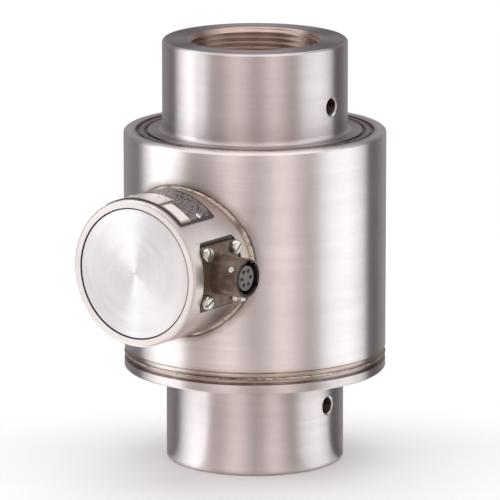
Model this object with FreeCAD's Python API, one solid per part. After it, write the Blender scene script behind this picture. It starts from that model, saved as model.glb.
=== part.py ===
import FreeCAD, Part
import math
import os

# Tension load cell with a threaded socket at each end and a round terminal housing on its side.
# Millimetres. The origin is the centre of the lower end face and +Z runs up the load axis.
# The terminal housing points to -Y and its receptacle to +X.

# End bosses and can
lower_boss_d = 68.9
lower_boss_length = 36.2
upper_boss_d = 71.7
upper_boss_length = 35.4
boss_edge = 0.8
boss_foot_radius = 2.0
can_d = 101.6
can_height = 93.5
can_edge = 0.7
casing_wall = 6.85

# Threaded sockets, 2 inch with 12 threads to the inch
thread_major_d = 50.8
threads_per_inch = 12
thread_length = 36.0
thread_relief_width = 5.0
thread_relief_depth = 0.6
mouth_chamfer_oversize = 0.5
socket_cone_angle = 12.0

# Spanner holes, one on each side of both bosses
spanner_hole_d = 6.35
spanner_hole_depth = 7.5
spanner_chamfer = 0.5
upper_spanner_from_end = 23.0
lower_spanner_from_end = 24.5

# Welded joints: a lip on each side of the joint with a relief groove beside it
base_land = 3.6
base_low_groove = 1.8
base_high_groove = 2.1
weld_lip = 0.55
base_groove_depth = 1.5
base_lip_sink = 0.5
top_lip = 0.95
top_groove = 1.35
top_groove_depth = 1.4
top_lip_sink = 0.4
bead_rise = 0.6
pilot_clearance = 0.1
pilot_length = 3.6

# Gauged column inside the can
column_across = 34.0
column_corner_r = 22.0
hub_d = 60.0
hub_length = 6.0
column_fillet = 8.0
diaphragm_thickness = 3.0
upper_hub_length = 14.0
flat_run_out = 2.0

# Terminal housing on the side of the can
housing_d = 56.4
housing_axis_below_top = 43.2
housing_rim = 3.1
housing_back_wall = 2.6
housing_edge = 0.7
housing_bead = 1.1
housing_bead_chamfer = 0.68
port_d = 8.0

# Cover and its seal
cover_gap = 0.15
cover_ledge = 4.1
cover_thickness = 3.0
cover_recess = 0.3
cover_edge = 0.25
seal_section_d = 1.4
seal_groove_floor = 1.05

# Receptacle: square flange, round shell with three bayonet pins
seat_depth = 3.4
pocket_clearance = 0.5
pocket_height = 29.0
pocket_front_land = 5.685
pocket_corner_r = 6.0
gasket_thickness = 0.8
flange_across = 23.83
flange_corner_r = 2.4
flange_thickness = 1.6
flange_hole_inset = 2.785
flange_hole_d = 3.05
shell_d = 14.99
shell_length = 12.9
shell_bore_d = 12.2
rear_shell_d = 14.2
rear_shell_length = 5.1
rear_clearance = 0.2
keyway_width = 1.5
keyway_angles = [60.0, 145.0, 215.0, 300.0]
main_keyway_width = 2.4
main_keyway_angle = 180.0
keyway_depth = 0.75
keyway_length = 7.0
bayonet_pin_d = 2.2
bayonet_pin_rise = 1.3
bayonet_pin_floor = 0.55
bayonet_pin_angles = [0.0, 120.0, 240.0]
bayonet_from_mouth = 2.9

# Insulating insert and its socket contacts
nose_d = 9.6
nose_recess = 1.2
nose_length = 7.9
contact_count = 6
contact_circle_r = 2.9
contact_d = 1.6
contact_bore_d = 1.05
contact_bore_depth = 6.0
contact_recess = 0.6
solder_cup_length = 3.5

# Flange screws
screw_d = 2.84
screw_length = 6.3
screw_head_d = 5.56
screw_head_height = 1.9
screw_slot_width = 0.85
screw_slot_depth = 0.9
screw_slot_angles = [40.0, 70.0, 103.0, 22.0]
screw_tip_room = 0.6
head_side_share = 0.55
head_flat_share = 0.7

# Nameplate, wrapped round the top of the housing
plate_thickness = 0.45
plate_width = 21.8
plate_behind_front = 2.4
plate_start_angle = -32.0
plate_end_angle = 45.0
plate_pin_d = 1.5
plate_pin_head_d = 2.4
plate_pin_head_height = 0.5
plate_pin_length = 3.0
plate_pin_flat_share = 0.3
plate_pin_inset_angle = 4.8
plate_pin_behind_front = 15.8

# Strain gauges, terminal strips and wires on the column
gauge_width = 9.0
gauge_height = 13.0
gauge_thickness = 0.2
strip_width = 12.0
strip_height = 5.0
strip_thickness = 1.0
strip_gap = 3.0
bridge_wire_d = 0.9
bridge_wire_bend_r = 5.0
bridge_wire_overlap = 2.0
lead_d = 3.0
lead_first_run = 9.0
lead_slope_run = 8.0
lead_bend_r = 5.5

# Port bushing, terminal board and the parts on it
bushing_bore_clearance = 0.1
bushing_flange_d = 11.0
bushing_flange_thickness = 0.8
standoff_d = 4.5
standoff_length = 1.3
board_thickness = 1.2
board_clearance = 2.0
board_flat_from_axis = 12.0
board_screw_d = 2.2
board_screw_depth = 1.7
board_screw_head_d = 4.0
board_screw_head_height = 1.3
board_screw_slot_width = 0.55
board_screw_slot_depth = 0.65
board_screw_angles = [80.0, 180.0, 280.0]
board_screw_edge = 3.6
resistor_d = 3.2
resistor_length = 7.0
resistor_count = 4
resistor_pitch = 5.0
turret_d = 1.6
turret_height = 2.4
turret_waist_d = 1.0
turret_waist_low = 0.85
turret_waist_high = 1.7
turret_count = 6
turret_pitch = 3.4
resistor_row_x = -6.0
turret_row_x = -10.8
hookup_wire_d = 1.0
hookup_bend_r = 1.8
hookup_straight = 0.7
near_wire_x = 10.0
far_wire_x = 7.6

# How far a cutter runs past the face that it opens
cut_margin = 1.0
quarter_turns = (0, 90, 180, 270)

# Derived places along the load axis
lower_boss_r = lower_boss_d / 2
upper_boss_r = upper_boss_d / 2
can_r = can_d / 2
can_bottom_z = lower_boss_length
can_top_z = can_bottom_z + can_height
total_height = can_top_z + upper_boss_length
casing_inner_r = can_r - casing_wall
pilot_r = casing_inner_r - pilot_clearance
joint_z = can_bottom_z + base_land + base_low_groove + weld_lip
base_groove_r = can_r - base_groove_depth
base_lip_r = can_r - base_lip_sink
top_lip_z = can_top_z - top_lip_sink
hub_r = hub_d / 2
pilot_top_z = joint_z + pilot_length
column_bottom_z = pilot_top_z + hub_length
diaphragm_bottom_z = can_top_z - diaphragm_thickness
column_top_z = diaphragm_bottom_z - upper_hub_length
column_half = column_across / 2
housing_z = can_top_z - housing_axis_below_top

thread_pitch = 25.4 / threads_per_inch
# A 60 degree thread's minor diameter is the major less 1.0825 times the pitch
thread_minor_r = thread_major_d / 2 - 1.0825 * thread_pitch / 2
mouth_chamfer = thread_major_d / 2 + mouth_chamfer_oversize - thread_minor_r
relief_r = thread_major_d / 2 + thread_relief_depth
socket_wall_depth = mouth_chamfer + thread_length
socket_depth = socket_wall_depth + thread_relief_width
socket_cone_height = relief_r * math.tan(math.radians(socket_cone_angle))

# Derived places in the terminal housing, measured outwards from the load axis
housing_r = housing_d / 2
cover_seat_r = housing_r - housing_rim
cover_r = cover_seat_r - cover_gap
housing_bore_r = cover_seat_r - cover_ledge
housing_floor = can_r + housing_back_wall
board_back = housing_floor + standoff_length
board_front = board_back + board_thickness
# The nearest contact's wire has room for its bend between the receptacle and the board
receptacle_from_axis = board_front + hookup_straight + hookup_bend_r + contact_circle_r
receptacle_y = -receptacle_from_axis
pocket_half_width = flange_across / 2 + pocket_clearance
housing_reach = receptacle_from_axis + pocket_half_width + pocket_front_land
cover_front = housing_reach - cover_recess
cover_back = cover_front - cover_thickness
seat_from_axis = housing_r - seat_depth
flange_back = seat_from_axis + gasket_thickness
flange_front = flange_back + flange_thickness
shell_mouth = flange_front + shell_length
shell_r = shell_d / 2
shell_bore_r = shell_bore_d / 2
rear_shell_end = flange_back - rear_shell_length
rear_shell_r = rear_shell_d / 2
rear_hole_r = rear_shell_r + rear_clearance
nose_front = shell_mouth - nose_recess
nose_back = nose_front - nose_length
hole_half_spacing = flange_across / 2 - flange_hole_inset
screw_end = flange_front - screw_length
board_r = housing_bore_r - board_clearance
board_screw_circle_r = board_r - board_screw_edge


def outline_face(points):
    """A flat face in the XZ plane from (radius, height) points; a point of three entries ends an arc."""
    edges = []
    last = FreeCAD.Vector(points[0][0], 0, points[0][1])
    for point in points[1:] + points[:1]:
        end = FreeCAD.Vector(point[0], 0, point[1])
        if len(point) == 3:
            middle = FreeCAD.Vector(point[2][0], 0, point[2][1])
            edges.append(Part.Arc(last, middle, end).toShape())
        else:
            edges.append(Part.LineSegment(last, end).toShape())
        last = end
    return Part.Face(Part.Wire(edges))


def turned(points):
    """A solid turned about Z from an outline of (radius, height) points."""
    return outline_face(points).revolve(FreeCAD.Vector(0, 0, 0), FreeCAD.Vector(0, 0, 1), 360)


def cylinder(radius, start, end, x=0.0, y=0.0):
    """A cylinder parallel to Z from one height to another."""
    return Part.makeCylinder(radius, end - start, FreeCAD.Vector(x, y, start))


def block(x_range, y_range, z_range):
    """A box between two values on each axis."""
    corner = FreeCAD.Vector(x_range[0], y_range[0], z_range[0])
    sizes = [pair[1] - pair[0] for pair in (x_range, y_range, z_range)]
    return Part.makeBox(sizes[0], sizes[1], sizes[2], corner)


def rounded_block(half_x, half_y, radius, start, end):
    """A block centred on Z with its four upright edges rounded."""
    solid = block((-half_x, half_x), (-half_y, half_y), (start, end))
    upright = [edge for edge in solid.Edges if edge.BoundBox.ZLength > (end - start) / 2]
    return solid.makeFillet(radius, upright)


def arc_middle(centre, radius, degrees):
    """A point on an arc of the outline plane."""
    angle = math.radians(degrees)
    return (centre[0] + radius * math.cos(angle), centre[1] + radius * math.sin(angle))


def to_housing(shape):
    """From the housing's own frame, where Z is its axis and Y is up, to its place on the can."""
    placed = shape.copy()
    placed.rotate(FreeCAD.Vector(0, 0, 0), FreeCAD.Vector(1, 0, 0), 90)
    placed.translate(FreeCAD.Vector(0, 0, housing_z))
    return placed


def to_receptacle(shape):
    """From the receptacle's own frame, where Z points out of its mouth and -X is up, to its place."""
    placed = shape.copy()
    placed.rotate(FreeCAD.Vector(0, 0, 0), FreeCAD.Vector(0, 1, 0), 90)
    placed.translate(FreeCAD.Vector(0, receptacle_y, housing_z))
    return placed


def turned_about_z(shape, degrees):
    """A copy turned about Z."""
    copy = shape.copy()
    copy.rotate(FreeCAD.Vector(0, 0, 0), FreeCAD.Vector(0, 0, 1), degrees)
    return copy


def moved(shape, x, y, z):
    """A moved copy."""
    copy = shape.copy()
    copy.translate(FreeCAD.Vector(x, y, z))
    return copy


def tube_along(points, radius, bend_r):
    """A round tube along straight runs joined by tangent arcs."""
    vectors = [FreeCAD.Vector(*point) for point in points]
    edges = []
    start = vectors[0]
    for before, corner, after in zip(vectors, vectors[1:], vectors[2:]):
        into = (corner - before).normalize()
        out = (after - corner).normalize()
        half_turn = into.getAngle(out) / 2
        reach = bend_r * math.tan(half_turn)
        arc_start = corner - into * reach
        arc_end = corner + out * reach
        bisector = (out - into).normalize()
        middle = corner + bisector * (bend_r / math.cos(half_turn) - bend_r)
        edges.append(Part.LineSegment(start, arc_start).toShape())
        edges.append(Part.Arc(arc_start, middle, arc_end).toShape())
        start = arc_end
    edges.append(Part.LineSegment(start, vectors[-1]).toShape())
    direction = vectors[1] - vectors[0]
    section = Part.Wire([Part.makeCircle(radius, vectors[0], direction)])
    return Part.Wire(edges).makePipeShell([section], True, False)


def shoulder_middle(flat_r, outer_r, low, high):
    """The middle of the rounded shoulder between a head's side and its flat top."""
    share = math.sqrt(0.5)
    return (flat_r + (outer_r - flat_r) * share, low + (high - low) * share)


def slotted_screw(thread_d, length, head_d, head_height, slot_width, slot_depth, slot_angle):
    """A slotted pan-head screw: head above Z = 0, thread below it."""
    head_r = head_d / 2
    flat_r = head_r * head_flat_share
    side_height = head_height * head_side_share
    shoulder = shoulder_middle(flat_r, head_r, side_height, head_height)
    points = [(0, -length), (thread_d / 2, -length), (thread_d / 2, 0), (head_r, 0)]
    points += [(head_r, side_height), (flat_r, head_height, shoulder), (0, head_height)]
    slot = block((-head_d, head_d), (-slot_width / 2, slot_width / 2),
                 (head_height - slot_depth, head_height + slot_depth))
    return turned(points).cut(turned_about_z(slot, slot_angle))


def threaded_socket():
    """The hollow of one threaded socket, opening downwards at Z = 0."""
    points = [(0, 0), (thread_minor_r + mouth_chamfer, 0), (thread_minor_r, mouth_chamfer)]
    points += [(thread_minor_r, socket_wall_depth), (relief_r, socket_wall_depth)]
    points += [(relief_r, socket_depth), (0, socket_depth + socket_cone_height)]
    return turned(points)


def spanner_hole(boss_r):
    """One blind spanner hole with a chamfered mouth, along +X from a boss's surface."""
    hole_r = spanner_hole_d / 2
    bottom = boss_r - spanner_hole_depth
    # The chamfer starts a little inside the surface, which curves away across the hole
    drop = boss_r - math.sqrt(boss_r ** 2 - hole_r ** 2)
    chamfer_start = boss_r - drop - spanner_chamfer
    outer = boss_r + spanner_chamfer
    points = [(0, bottom), (hole_r, bottom), (hole_r, chamfer_start)]
    points += [(hole_r + outer - chamfer_start, outer), (0, outer)]
    hole = turned(points)
    hole.rotate(FreeCAD.Vector(0, 0, 0), FreeCAD.Vector(0, 1, 0), 90)
    return hole


def spring_element():
    """Both bosses, base flange, gauged column and top diaphragm, turned from one bar."""
    fillet_middle_low = arc_middle((column_corner_r + column_fillet, column_bottom_z + column_fillet),
                                   column_fillet, 225)
    fillet_middle_high = arc_middle((column_corner_r + column_fillet, column_top_z - column_fillet),
                                    column_fillet, 135)
    foot_middle = arc_middle((upper_boss_r + boss_foot_radius, can_top_z + boss_foot_radius),
                             boss_foot_radius, 225)
    points = [(0, 0), (lower_boss_r - boss_edge, 0), (lower_boss_r, boss_edge)]
    points += [(lower_boss_r, can_bottom_z), (can_r - can_edge, can_bottom_z)]
    points += [(can_r, can_bottom_z + can_edge), (can_r, can_bottom_z + base_land)]
    points += [(base_groove_r, can_bottom_z + base_land), (base_groove_r, joint_z - weld_lip)]
    points += [(base_lip_r, joint_z - weld_lip), (base_lip_r, joint_z), (pilot_r, joint_z)]
    points += [(pilot_r, pilot_top_z), (hub_r, pilot_top_z), (hub_r, column_bottom_z)]
    points += [(column_corner_r + column_fillet, column_bottom_z)]
    points += [(column_corner_r, column_bottom_z + column_fillet, fillet_middle_low)]
    points += [(column_corner_r, column_top_z - column_fillet)]
    points += [(column_corner_r + column_fillet, column_top_z, fillet_middle_high)]
    points += [(hub_r, column_top_z), (hub_r, diaphragm_bottom_z), (pilot_r, diaphragm_bottom_z)]
    points += [(pilot_r, top_lip_z), (pilot_r - top_lip, top_lip_z)]
    points += [(pilot_r - top_lip, can_top_z - top_groove_depth)]
    points += [(pilot_r - top_lip - top_groove, can_top_z - top_groove_depth)]
    points += [(pilot_r - top_lip - top_groove, can_top_z)]
    points += [(upper_boss_r + boss_foot_radius, can_top_z)]
    points += [(upper_boss_r, can_top_z + boss_foot_radius, foot_middle)]
    points += [(upper_boss_r, total_height - boss_edge), (upper_boss_r - boss_edge, total_height)]
    points += [(0, total_height)]
    body = turned(drop_repeats(points))
    for flat in column_flats():
        body = body.cut(flat)
    lower = threaded_socket()
    upper = threaded_socket()
    upper.rotate(FreeCAD.Vector(0, 0, 0), FreeCAD.Vector(1, 0, 0), 180)
    upper.translate(FreeCAD.Vector(0, 0, total_height))
    body = body.cut(lower).cut(upper)
    for boss_r, z in ((upper_boss_r, total_height - upper_spanner_from_end),
                      (lower_boss_r, lower_spanner_from_end)):
        for turn in (0, 180):
            body = body.cut(moved(turned_about_z(spanner_hole(boss_r), turn), 0, 0, z))
    return body


def drop_repeats(points):
    """The outline without points that fall on the one before them."""
    kept = [points[0]]
    for point in points[1:]:
        if math.dist(point[:2], kept[-1][:2]) > 1e-6:
            kept.append(point)
    return kept


def column_flats():
    """Cutters that leave a square column with four flats for the gauges."""
    low = column_bottom_z + column_fillet - flat_run_out
    high = column_top_z - column_fillet + flat_run_out
    outer = column_corner_r + column_fillet
    flat = block((column_half, outer), (-outer, outer), (low, high))
    return [turned_about_z(flat, turn) for turn in quarter_turns]


def casing_tube():
    """The can's tube, which slides over the element and is welded to it at both ends."""
    lip_top = joint_z + weld_lip
    groove_top = lip_top + base_high_groove
    lip_r = casing_inner_r + top_lip
    groove_floor = can_top_z - top_groove_depth
    points = [(casing_inner_r, joint_z), (base_lip_r, joint_z), (base_lip_r, lip_top)]
    points += [(base_groove_r, lip_top), (base_groove_r, groove_top), (can_r, groove_top)]
    points += [(can_r, can_top_z - can_edge), (can_r - can_edge, can_top_z)]
    points += [(lip_r + top_groove, can_top_z), (lip_r + top_groove, groove_floor)]
    points += [(lip_r, groove_floor), (lip_r, top_lip_z), (casing_inner_r, top_lip_z)]
    port = to_housing(cylinder(port_d / 2, 0, can_r + cut_margin))
    return turned(points).cut(port)


def casing_base_weld():
    """The weld bead over the two lips at the can's base."""
    points = [(base_lip_r, joint_z - weld_lip)]
    points += [(base_lip_r, joint_z + weld_lip, (base_lip_r + bead_rise, joint_z))]
    return turned(points)


def casing_top_weld():
    """The weld bead over the two lips on the can's top."""
    middle_r = (pilot_r + casing_inner_r) / 2
    points = [(pilot_r - top_lip, top_lip_z)]
    points += [(casing_inner_r + top_lip, top_lip_z, (middle_r, top_lip_z + bead_rise))]
    return turned(points)


def terminal_housing():
    """The round side housing, bored from the front and cut to sit on the can."""
    edge = housing_reach - housing_edge
    points = [(0, 0), (housing_r, 0), (housing_r, edge), (housing_r - housing_edge, housing_reach)]
    points += [(cover_seat_r, housing_reach), (cover_seat_r, cover_back), (housing_bore_r, cover_back)]
    points += [(housing_bore_r, housing_floor), (0, housing_floor)]
    body = to_housing(turned(points))
    body = body.cut(cylinder(can_r, 0, total_height))
    body = body.cut(to_housing(cylinder(port_d / 2, 0, housing_reach)))
    pocket = rounded_block(pocket_height / 2, pocket_half_width, pocket_corner_r,
                           seat_from_axis, housing_r + cut_margin)
    body = body.cut(to_receptacle(pocket))
    body = body.cut(to_receptacle(cylinder(rear_hole_r, 0, housing_r)))
    for x, y in flange_hole_places():
        hole = cylinder(screw_d / 2, screw_end - screw_tip_room, seat_from_axis, x, y)
        body = body.cut(to_receptacle(hole))
    for angle in board_screw_angles:
        x, y = board_screw_place(angle)
        body = body.cut(to_housing(cylinder(board_screw_d / 2, housing_floor - board_screw_depth,
                                            housing_floor, x, y)))
    for pin_hole in plate_pins(plate_pin_length, 0):
        body = body.cut(pin_hole)
    return body


def housing_weld():
    """The fillet weld where the housing meets the can."""
    outer_r = housing_r + housing_bead
    band = cylinder(outer_r, 0, housing_reach).cut(cylinder(housing_r, 0, housing_reach))
    band = to_housing(band)
    skin = cylinder(can_r + housing_bead, housing_z - outer_r - cut_margin,
                    housing_z + outer_r + cut_margin)
    skin = skin.cut(cylinder(can_r, 0, total_height))
    front = block((-can_d, can_d), (-can_d, 0), (0, total_height))
    bead = band.common(skin).common(front)
    crest = [edge for edge in bead.Edges if on_weld_crest(edge, outer_r)]
    return bead.makeChamfer(housing_bead_chamfer, crest)


def on_weld_crest(edge, outer_r):
    """Whether an edge is the outer corner of the square bead before it is chamfered."""
    point = edge.valueAt((edge.FirstParameter + edge.LastParameter) / 2)
    from_housing = math.hypot(point.x, point.z - housing_z)
    from_load_axis = math.hypot(point.x, point.y)
    return abs(from_housing - outer_r) < 0.01 and abs(from_load_axis - can_r - housing_bead) < 0.01


def housing_cover():
    """The pressed-in round cover with a groove for its seal."""
    middle = (cover_front - cover_edge + cover_back) / 2
    floor = cover_r - seal_groove_floor
    half = seal_section_d / 2
    points = [(0, cover_back), (cover_r, cover_back), (cover_r, middle - half), (floor, middle - half)]
    points += [(floor, middle + half), (cover_r, middle + half), (cover_r, cover_front - cover_edge)]
    points += [(cover_r - cover_edge, cover_front), (0, cover_front)]
    return to_housing(turned(points))


def cover_seal():
    """The seal ring squeezed between the cover's groove and the housing."""
    middle = (cover_front - cover_edge + cover_back) / 2
    inner = cover_r - seal_groove_floor
    half_width = (cover_seat_r - inner) / 2
    ring = Part.makeTorus(inner + half_width, half_width, FreeCAD.Vector(0, 0, middle))
    return to_housing(ring)


def flange_hole_places():
    """The four screw places in the receptacle's own frame."""
    near = hole_half_spacing
    return [(-near, near), (near, near), (-near, -near), (near, -near)]


def receptacle_gasket():
    """The flat gasket under the receptacle's flange."""
    half = flange_across / 2
    sheet = rounded_block(half, half, flange_corner_r, seat_from_axis, flange_back)
    sheet = sheet.cut(cylinder(rear_hole_r, seat_from_axis, flange_back))
    for x, y in flange_hole_places():
        sheet = sheet.cut(cylinder(flange_hole_d / 2, seat_from_axis, flange_back, x, y))
    return to_receptacle(sheet)


def receptacle_shell():
    """Flange, barrel with keyways and the short rear sleeve, in one piece."""
    half = flange_across / 2
    body = rounded_block(half, half, flange_corner_r, flange_back, flange_front)
    body = body.fuse(cylinder(shell_r, flange_front, shell_mouth))
    body = body.fuse(cylinder(rear_shell_r, rear_shell_end, flange_back)).removeSplitter()
    body = body.cut(cylinder(shell_bore_r, rear_shell_end, shell_mouth))
    for x, y in flange_hole_places():
        body = body.cut(cylinder(flange_hole_d / 2, flange_back, flange_front, x, y))
    body = body.cut(keyway(main_keyway_width, main_keyway_angle))
    for angle in keyway_angles:
        body = body.cut(keyway(keyway_width, angle))
    for hole in bayonet_pin_solids(0):
        body = body.cut(hole)
    return to_receptacle(body)


def keyway(width, angle):
    """The cutter for one keyway inside the barrel's mouth."""
    slot = block((0, shell_bore_r + keyway_depth), (-width / 2, width / 2),
                 (shell_mouth - keyway_length, shell_mouth))
    return turned_about_z(slot, angle)


def bayonet_pin_solids(rise):
    """The three bayonet pins in the receptacle's own frame, standing out of the shell by a rise."""
    pins = []
    for angle in bayonet_pin_angles:
        pin = cylinder(bayonet_pin_d / 2, shell_bore_r + bayonet_pin_floor, shell_r + rise)
        pin.rotate(FreeCAD.Vector(0, 0, 0), FreeCAD.Vector(0, 1, 0), 90)
        pin.translate(FreeCAD.Vector(0, 0, shell_mouth - bayonet_from_mouth))
        pins.append(turned_about_z(pin, angle))
    return pins


def contact_places():
    """The contacts' places in the receptacle's own frame."""
    places = []
    for index in range(contact_count):
        angle = 2 * math.pi * index / contact_count
        places.append((contact_circle_r * math.sin(angle), contact_circle_r * math.cos(angle)))
    return places


def receptacle_insert():
    """The insulator: a body that fills the shell and a nose that the plug slides over."""
    points = [(0, rear_shell_end), (shell_bore_r, rear_shell_end), (shell_bore_r, nose_back)]
    points += [(nose_d / 2, nose_back), (nose_d / 2, nose_front), (0, nose_front)]
    body = turned(points)
    for x, y in contact_places():
        body = body.cut(cylinder(contact_d / 2, rear_shell_end, nose_front, x, y))
    return to_receptacle(body)


def receptacle_contacts():
    """The socket contacts, each with a bore in front and a solder cup behind."""
    front = nose_front - contact_recess
    back = rear_shell_end - solder_cup_length
    contacts = []
    for x, y in contact_places():
        contact = cylinder(contact_d / 2, back, front, x, y)
        contact = contact.cut(cylinder(contact_bore_d / 2, front - contact_bore_depth, front, x, y))
        contacts.append(to_receptacle(contact))
    return Part.makeCompound(contacts)


def flange_screws():
    """The four screws that hold the receptacle."""
    screws = []
    for (x, y), angle in zip(flange_hole_places(), screw_slot_angles):
        # An angle is counted from +Y towards +Z, and -X is up in the receptacle's frame
        screw = slotted_screw(screw_d, screw_length, screw_head_d, screw_head_height,
                              screw_slot_width, screw_slot_depth, 90 + angle)
        screws.append(to_receptacle(moved(screw, x, y, flange_front)))
    return Part.makeCompound(screws)


def nameplate():
    """The curved plate on top of the housing, with a hole for each drive pin."""
    back = housing_reach - plate_behind_front - plate_width
    front = housing_reach - plate_behind_front
    outer_r = housing_r + plate_thickness
    sweep = plate_end_angle - plate_start_angle
    axis = FreeCAD.Vector(0, 0, 1)
    outer = Part.makeCylinder(outer_r, front - back, FreeCAD.Vector(0, 0, back), axis, sweep)
    plate = outer.cut(cylinder(housing_r, back, front))
    # Angles are counted from straight up towards +X, the other way round from the sweep
    plate = to_housing(turned_about_z(plate, 90 - plate_end_angle))
    for hole in plate_pins(plate_pin_length, 0):
        plate = plate.cut(hole)
    return plate


def plate_pins(length, head_height):
    """The drive pins of the nameplate, with heads if they have a height."""
    pins = []
    along = housing_reach - plate_pin_behind_front
    outer_r = housing_r + plate_thickness
    for angle in (plate_start_angle + plate_pin_inset_angle, plate_end_angle - plate_pin_inset_angle):
        pin = cylinder(plate_pin_d / 2, housing_r - length, outer_r)
        if head_height > 0:
            head_r = plate_pin_head_d / 2
            head_top = outer_r + head_height
            flat_r = head_r * plate_pin_flat_share
            # The head's seat is flat, so it stands on the plate's highest line
            points = [(0, housing_r - length), (plate_pin_d / 2, housing_r - length)]
            points += [(plate_pin_d / 2, outer_r), (head_r, outer_r)]
            points += [(flat_r, head_top, shoulder_middle(flat_r, head_r, outer_r, head_top))]
            points += [(0, head_top)]
            pin = turned(points)
        pin.rotate(FreeCAD.Vector(0, 0, 0), FreeCAD.Vector(0, 1, 0), angle)
        pin.translate(FreeCAD.Vector(0, -along, housing_z))
        pins.append(pin)
    return pins


def strain_gauges():
    """One gauge rosette on each flat of the column."""
    middle = (column_bottom_z + column_top_z) / 2
    gauge = block((column_half, column_half + gauge_thickness), (-gauge_width / 2, gauge_width / 2),
                  (middle - gauge_height / 2, middle + gauge_height / 2))
    return Part.makeCompound([turned_about_z(gauge, turn) for turn in quarter_turns])


def strip_z_range():
    """The heights between which the terminal strips lie, below the gauges."""
    top = (column_bottom_z + column_top_z) / 2 - gauge_height / 2 - strip_gap
    return (top - strip_height, top)


def terminal_strips():
    """One solder terminal strip under each gauge."""
    strip = block((column_half, column_half + strip_thickness), (-strip_width / 2, strip_width / 2),
                  strip_z_range())
    return Part.makeCompound([turned_about_z(strip, turn) for turn in quarter_turns])


def bridge_wires():
    """The wires that run round the column's corners from strip to strip."""
    low, high = strip_z_range()
    z = (low + high) / 2
    run = column_half + strip_thickness + bridge_wire_d / 2
    start = strip_width / 2 - bridge_wire_overlap
    wire = tube_along([(run, start, z), (run, run, z), (start, run, z)],
                      bridge_wire_d / 2, bridge_wire_bend_r)
    return Part.makeCompound([turned_about_z(wire, turn) for turn in quarter_turns])


def gauge_lead():
    """The bundled lead from the column through the port to the terminal board."""
    low, high = strip_z_range()
    strip_z = (low + high) / 2
    start = column_half + strip_thickness
    rise_start = start + lead_first_run
    rise_end = rise_start + lead_slope_run
    points = [(0, -start, strip_z), (0, -rise_start, strip_z), (0, -rise_end, housing_z)]
    points += [(0, -board_back, housing_z)]
    return tube_along(points, lead_d / 2, lead_bend_r)


def port_bushing():
    """The insulating bushing that carries the lead through the can's wall."""
    bore_r = lead_d / 2 + bushing_bore_clearance
    flange_end = housing_floor + bushing_flange_thickness
    points = [(bore_r, casing_inner_r), (port_d / 2, casing_inner_r), (port_d / 2, housing_floor)]
    points += [(bushing_flange_d / 2, housing_floor), (bushing_flange_d / 2, flange_end)]
    points += [(bore_r, flange_end)]
    return to_housing(turned(points))


def board_screw_place(angle):
    """A board screw's place in the housing's own frame."""
    radians = math.radians(angle)
    return (board_screw_circle_r * math.cos(radians), board_screw_circle_r * math.sin(radians))


def board_standoffs():
    """The spacers between the housing's back wall and the board."""
    spacers = []
    for angle in board_screw_angles:
        x, y = board_screw_place(angle)
        spacer = cylinder(standoff_d / 2, housing_floor, board_back, x, y)
        spacer = spacer.cut(cylinder(board_screw_d / 2, housing_floor, board_back, x, y))
        spacers.append(to_housing(spacer))
    return Part.makeCompound(spacers)


def terminal_board():
    """The round board with a flat on the receptacle's side."""
    board = cylinder(board_r, board_back, board_front)
    keep = block((-board_r, board_flat_from_axis), (-board_r, board_r), (board_back, board_front))
    board = board.common(keep)
    for angle in board_screw_angles:
        x, y = board_screw_place(angle)
        board = board.cut(cylinder(board_screw_d / 2, board_back, board_front, x, y))
    return to_housing(board)


def board_screws():
    """The screws that hold the board."""
    length = board_front - housing_floor + board_screw_depth
    screws = []
    for angle in board_screw_angles:
        x, y = board_screw_place(angle)
        screw = slotted_screw(board_screw_d, length, board_screw_head_d, board_screw_head_height,
                              board_screw_slot_width, board_screw_slot_depth, angle)
        screws.append(to_housing(moved(screw, x, y, board_front)))
    return Part.makeCompound(screws)


def row_heights(count, pitch):
    """Evenly spaced heights centred on the housing's axis."""
    return [pitch * (index - (count - 1) / 2) for index in range(count)]


def trim_resistors():
    """The bridge's trimming resistors, lying on the board."""
    resistors = []
    for y in row_heights(resistor_count, resistor_pitch):
        base = FreeCAD.Vector(resistor_row_x, y, board_front + resistor_d / 2)
        body = Part.makeCylinder(resistor_d / 2, resistor_length, base, FreeCAD.Vector(1, 0, 0))
        resistors.append(to_housing(body))
    return Part.makeCompound(resistors)


def solder_turrets():
    """The turret terminals that the gauge wires are soldered to."""
    turrets = []
    for y in row_heights(turret_count, turret_pitch):
        post = cylinder(turret_d / 2, board_front, board_front + turret_height, turret_row_x, y)
        waist = cylinder(turret_d, board_front + turret_waist_low,
                         board_front + turret_waist_high, turret_row_x, y)
        core = cylinder(turret_waist_d / 2, board_front, board_front + turret_height, turret_row_x, y)
        turrets.append(to_housing(post.cut(waist.cut(core))))
    return Part.makeCompound(turrets)


def hookup_wires():
    """The wires from the receptacle's solder cups to the board."""
    start_x = rear_shell_end - solder_cup_length
    wires = []
    for x, y in contact_places():
        end_x = near_wire_x if y > 0 else far_wire_x
        wire_y = receptacle_y + y
        wire_z = housing_z - x
        points = [(start_x, wire_y, wire_z), (end_x, wire_y, wire_z), (end_x, -board_front, wire_z)]
        wires.append(tube_along(points, hookup_wire_d / 2, hookup_bend_r))
    return Part.makeCompound(wires)


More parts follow.
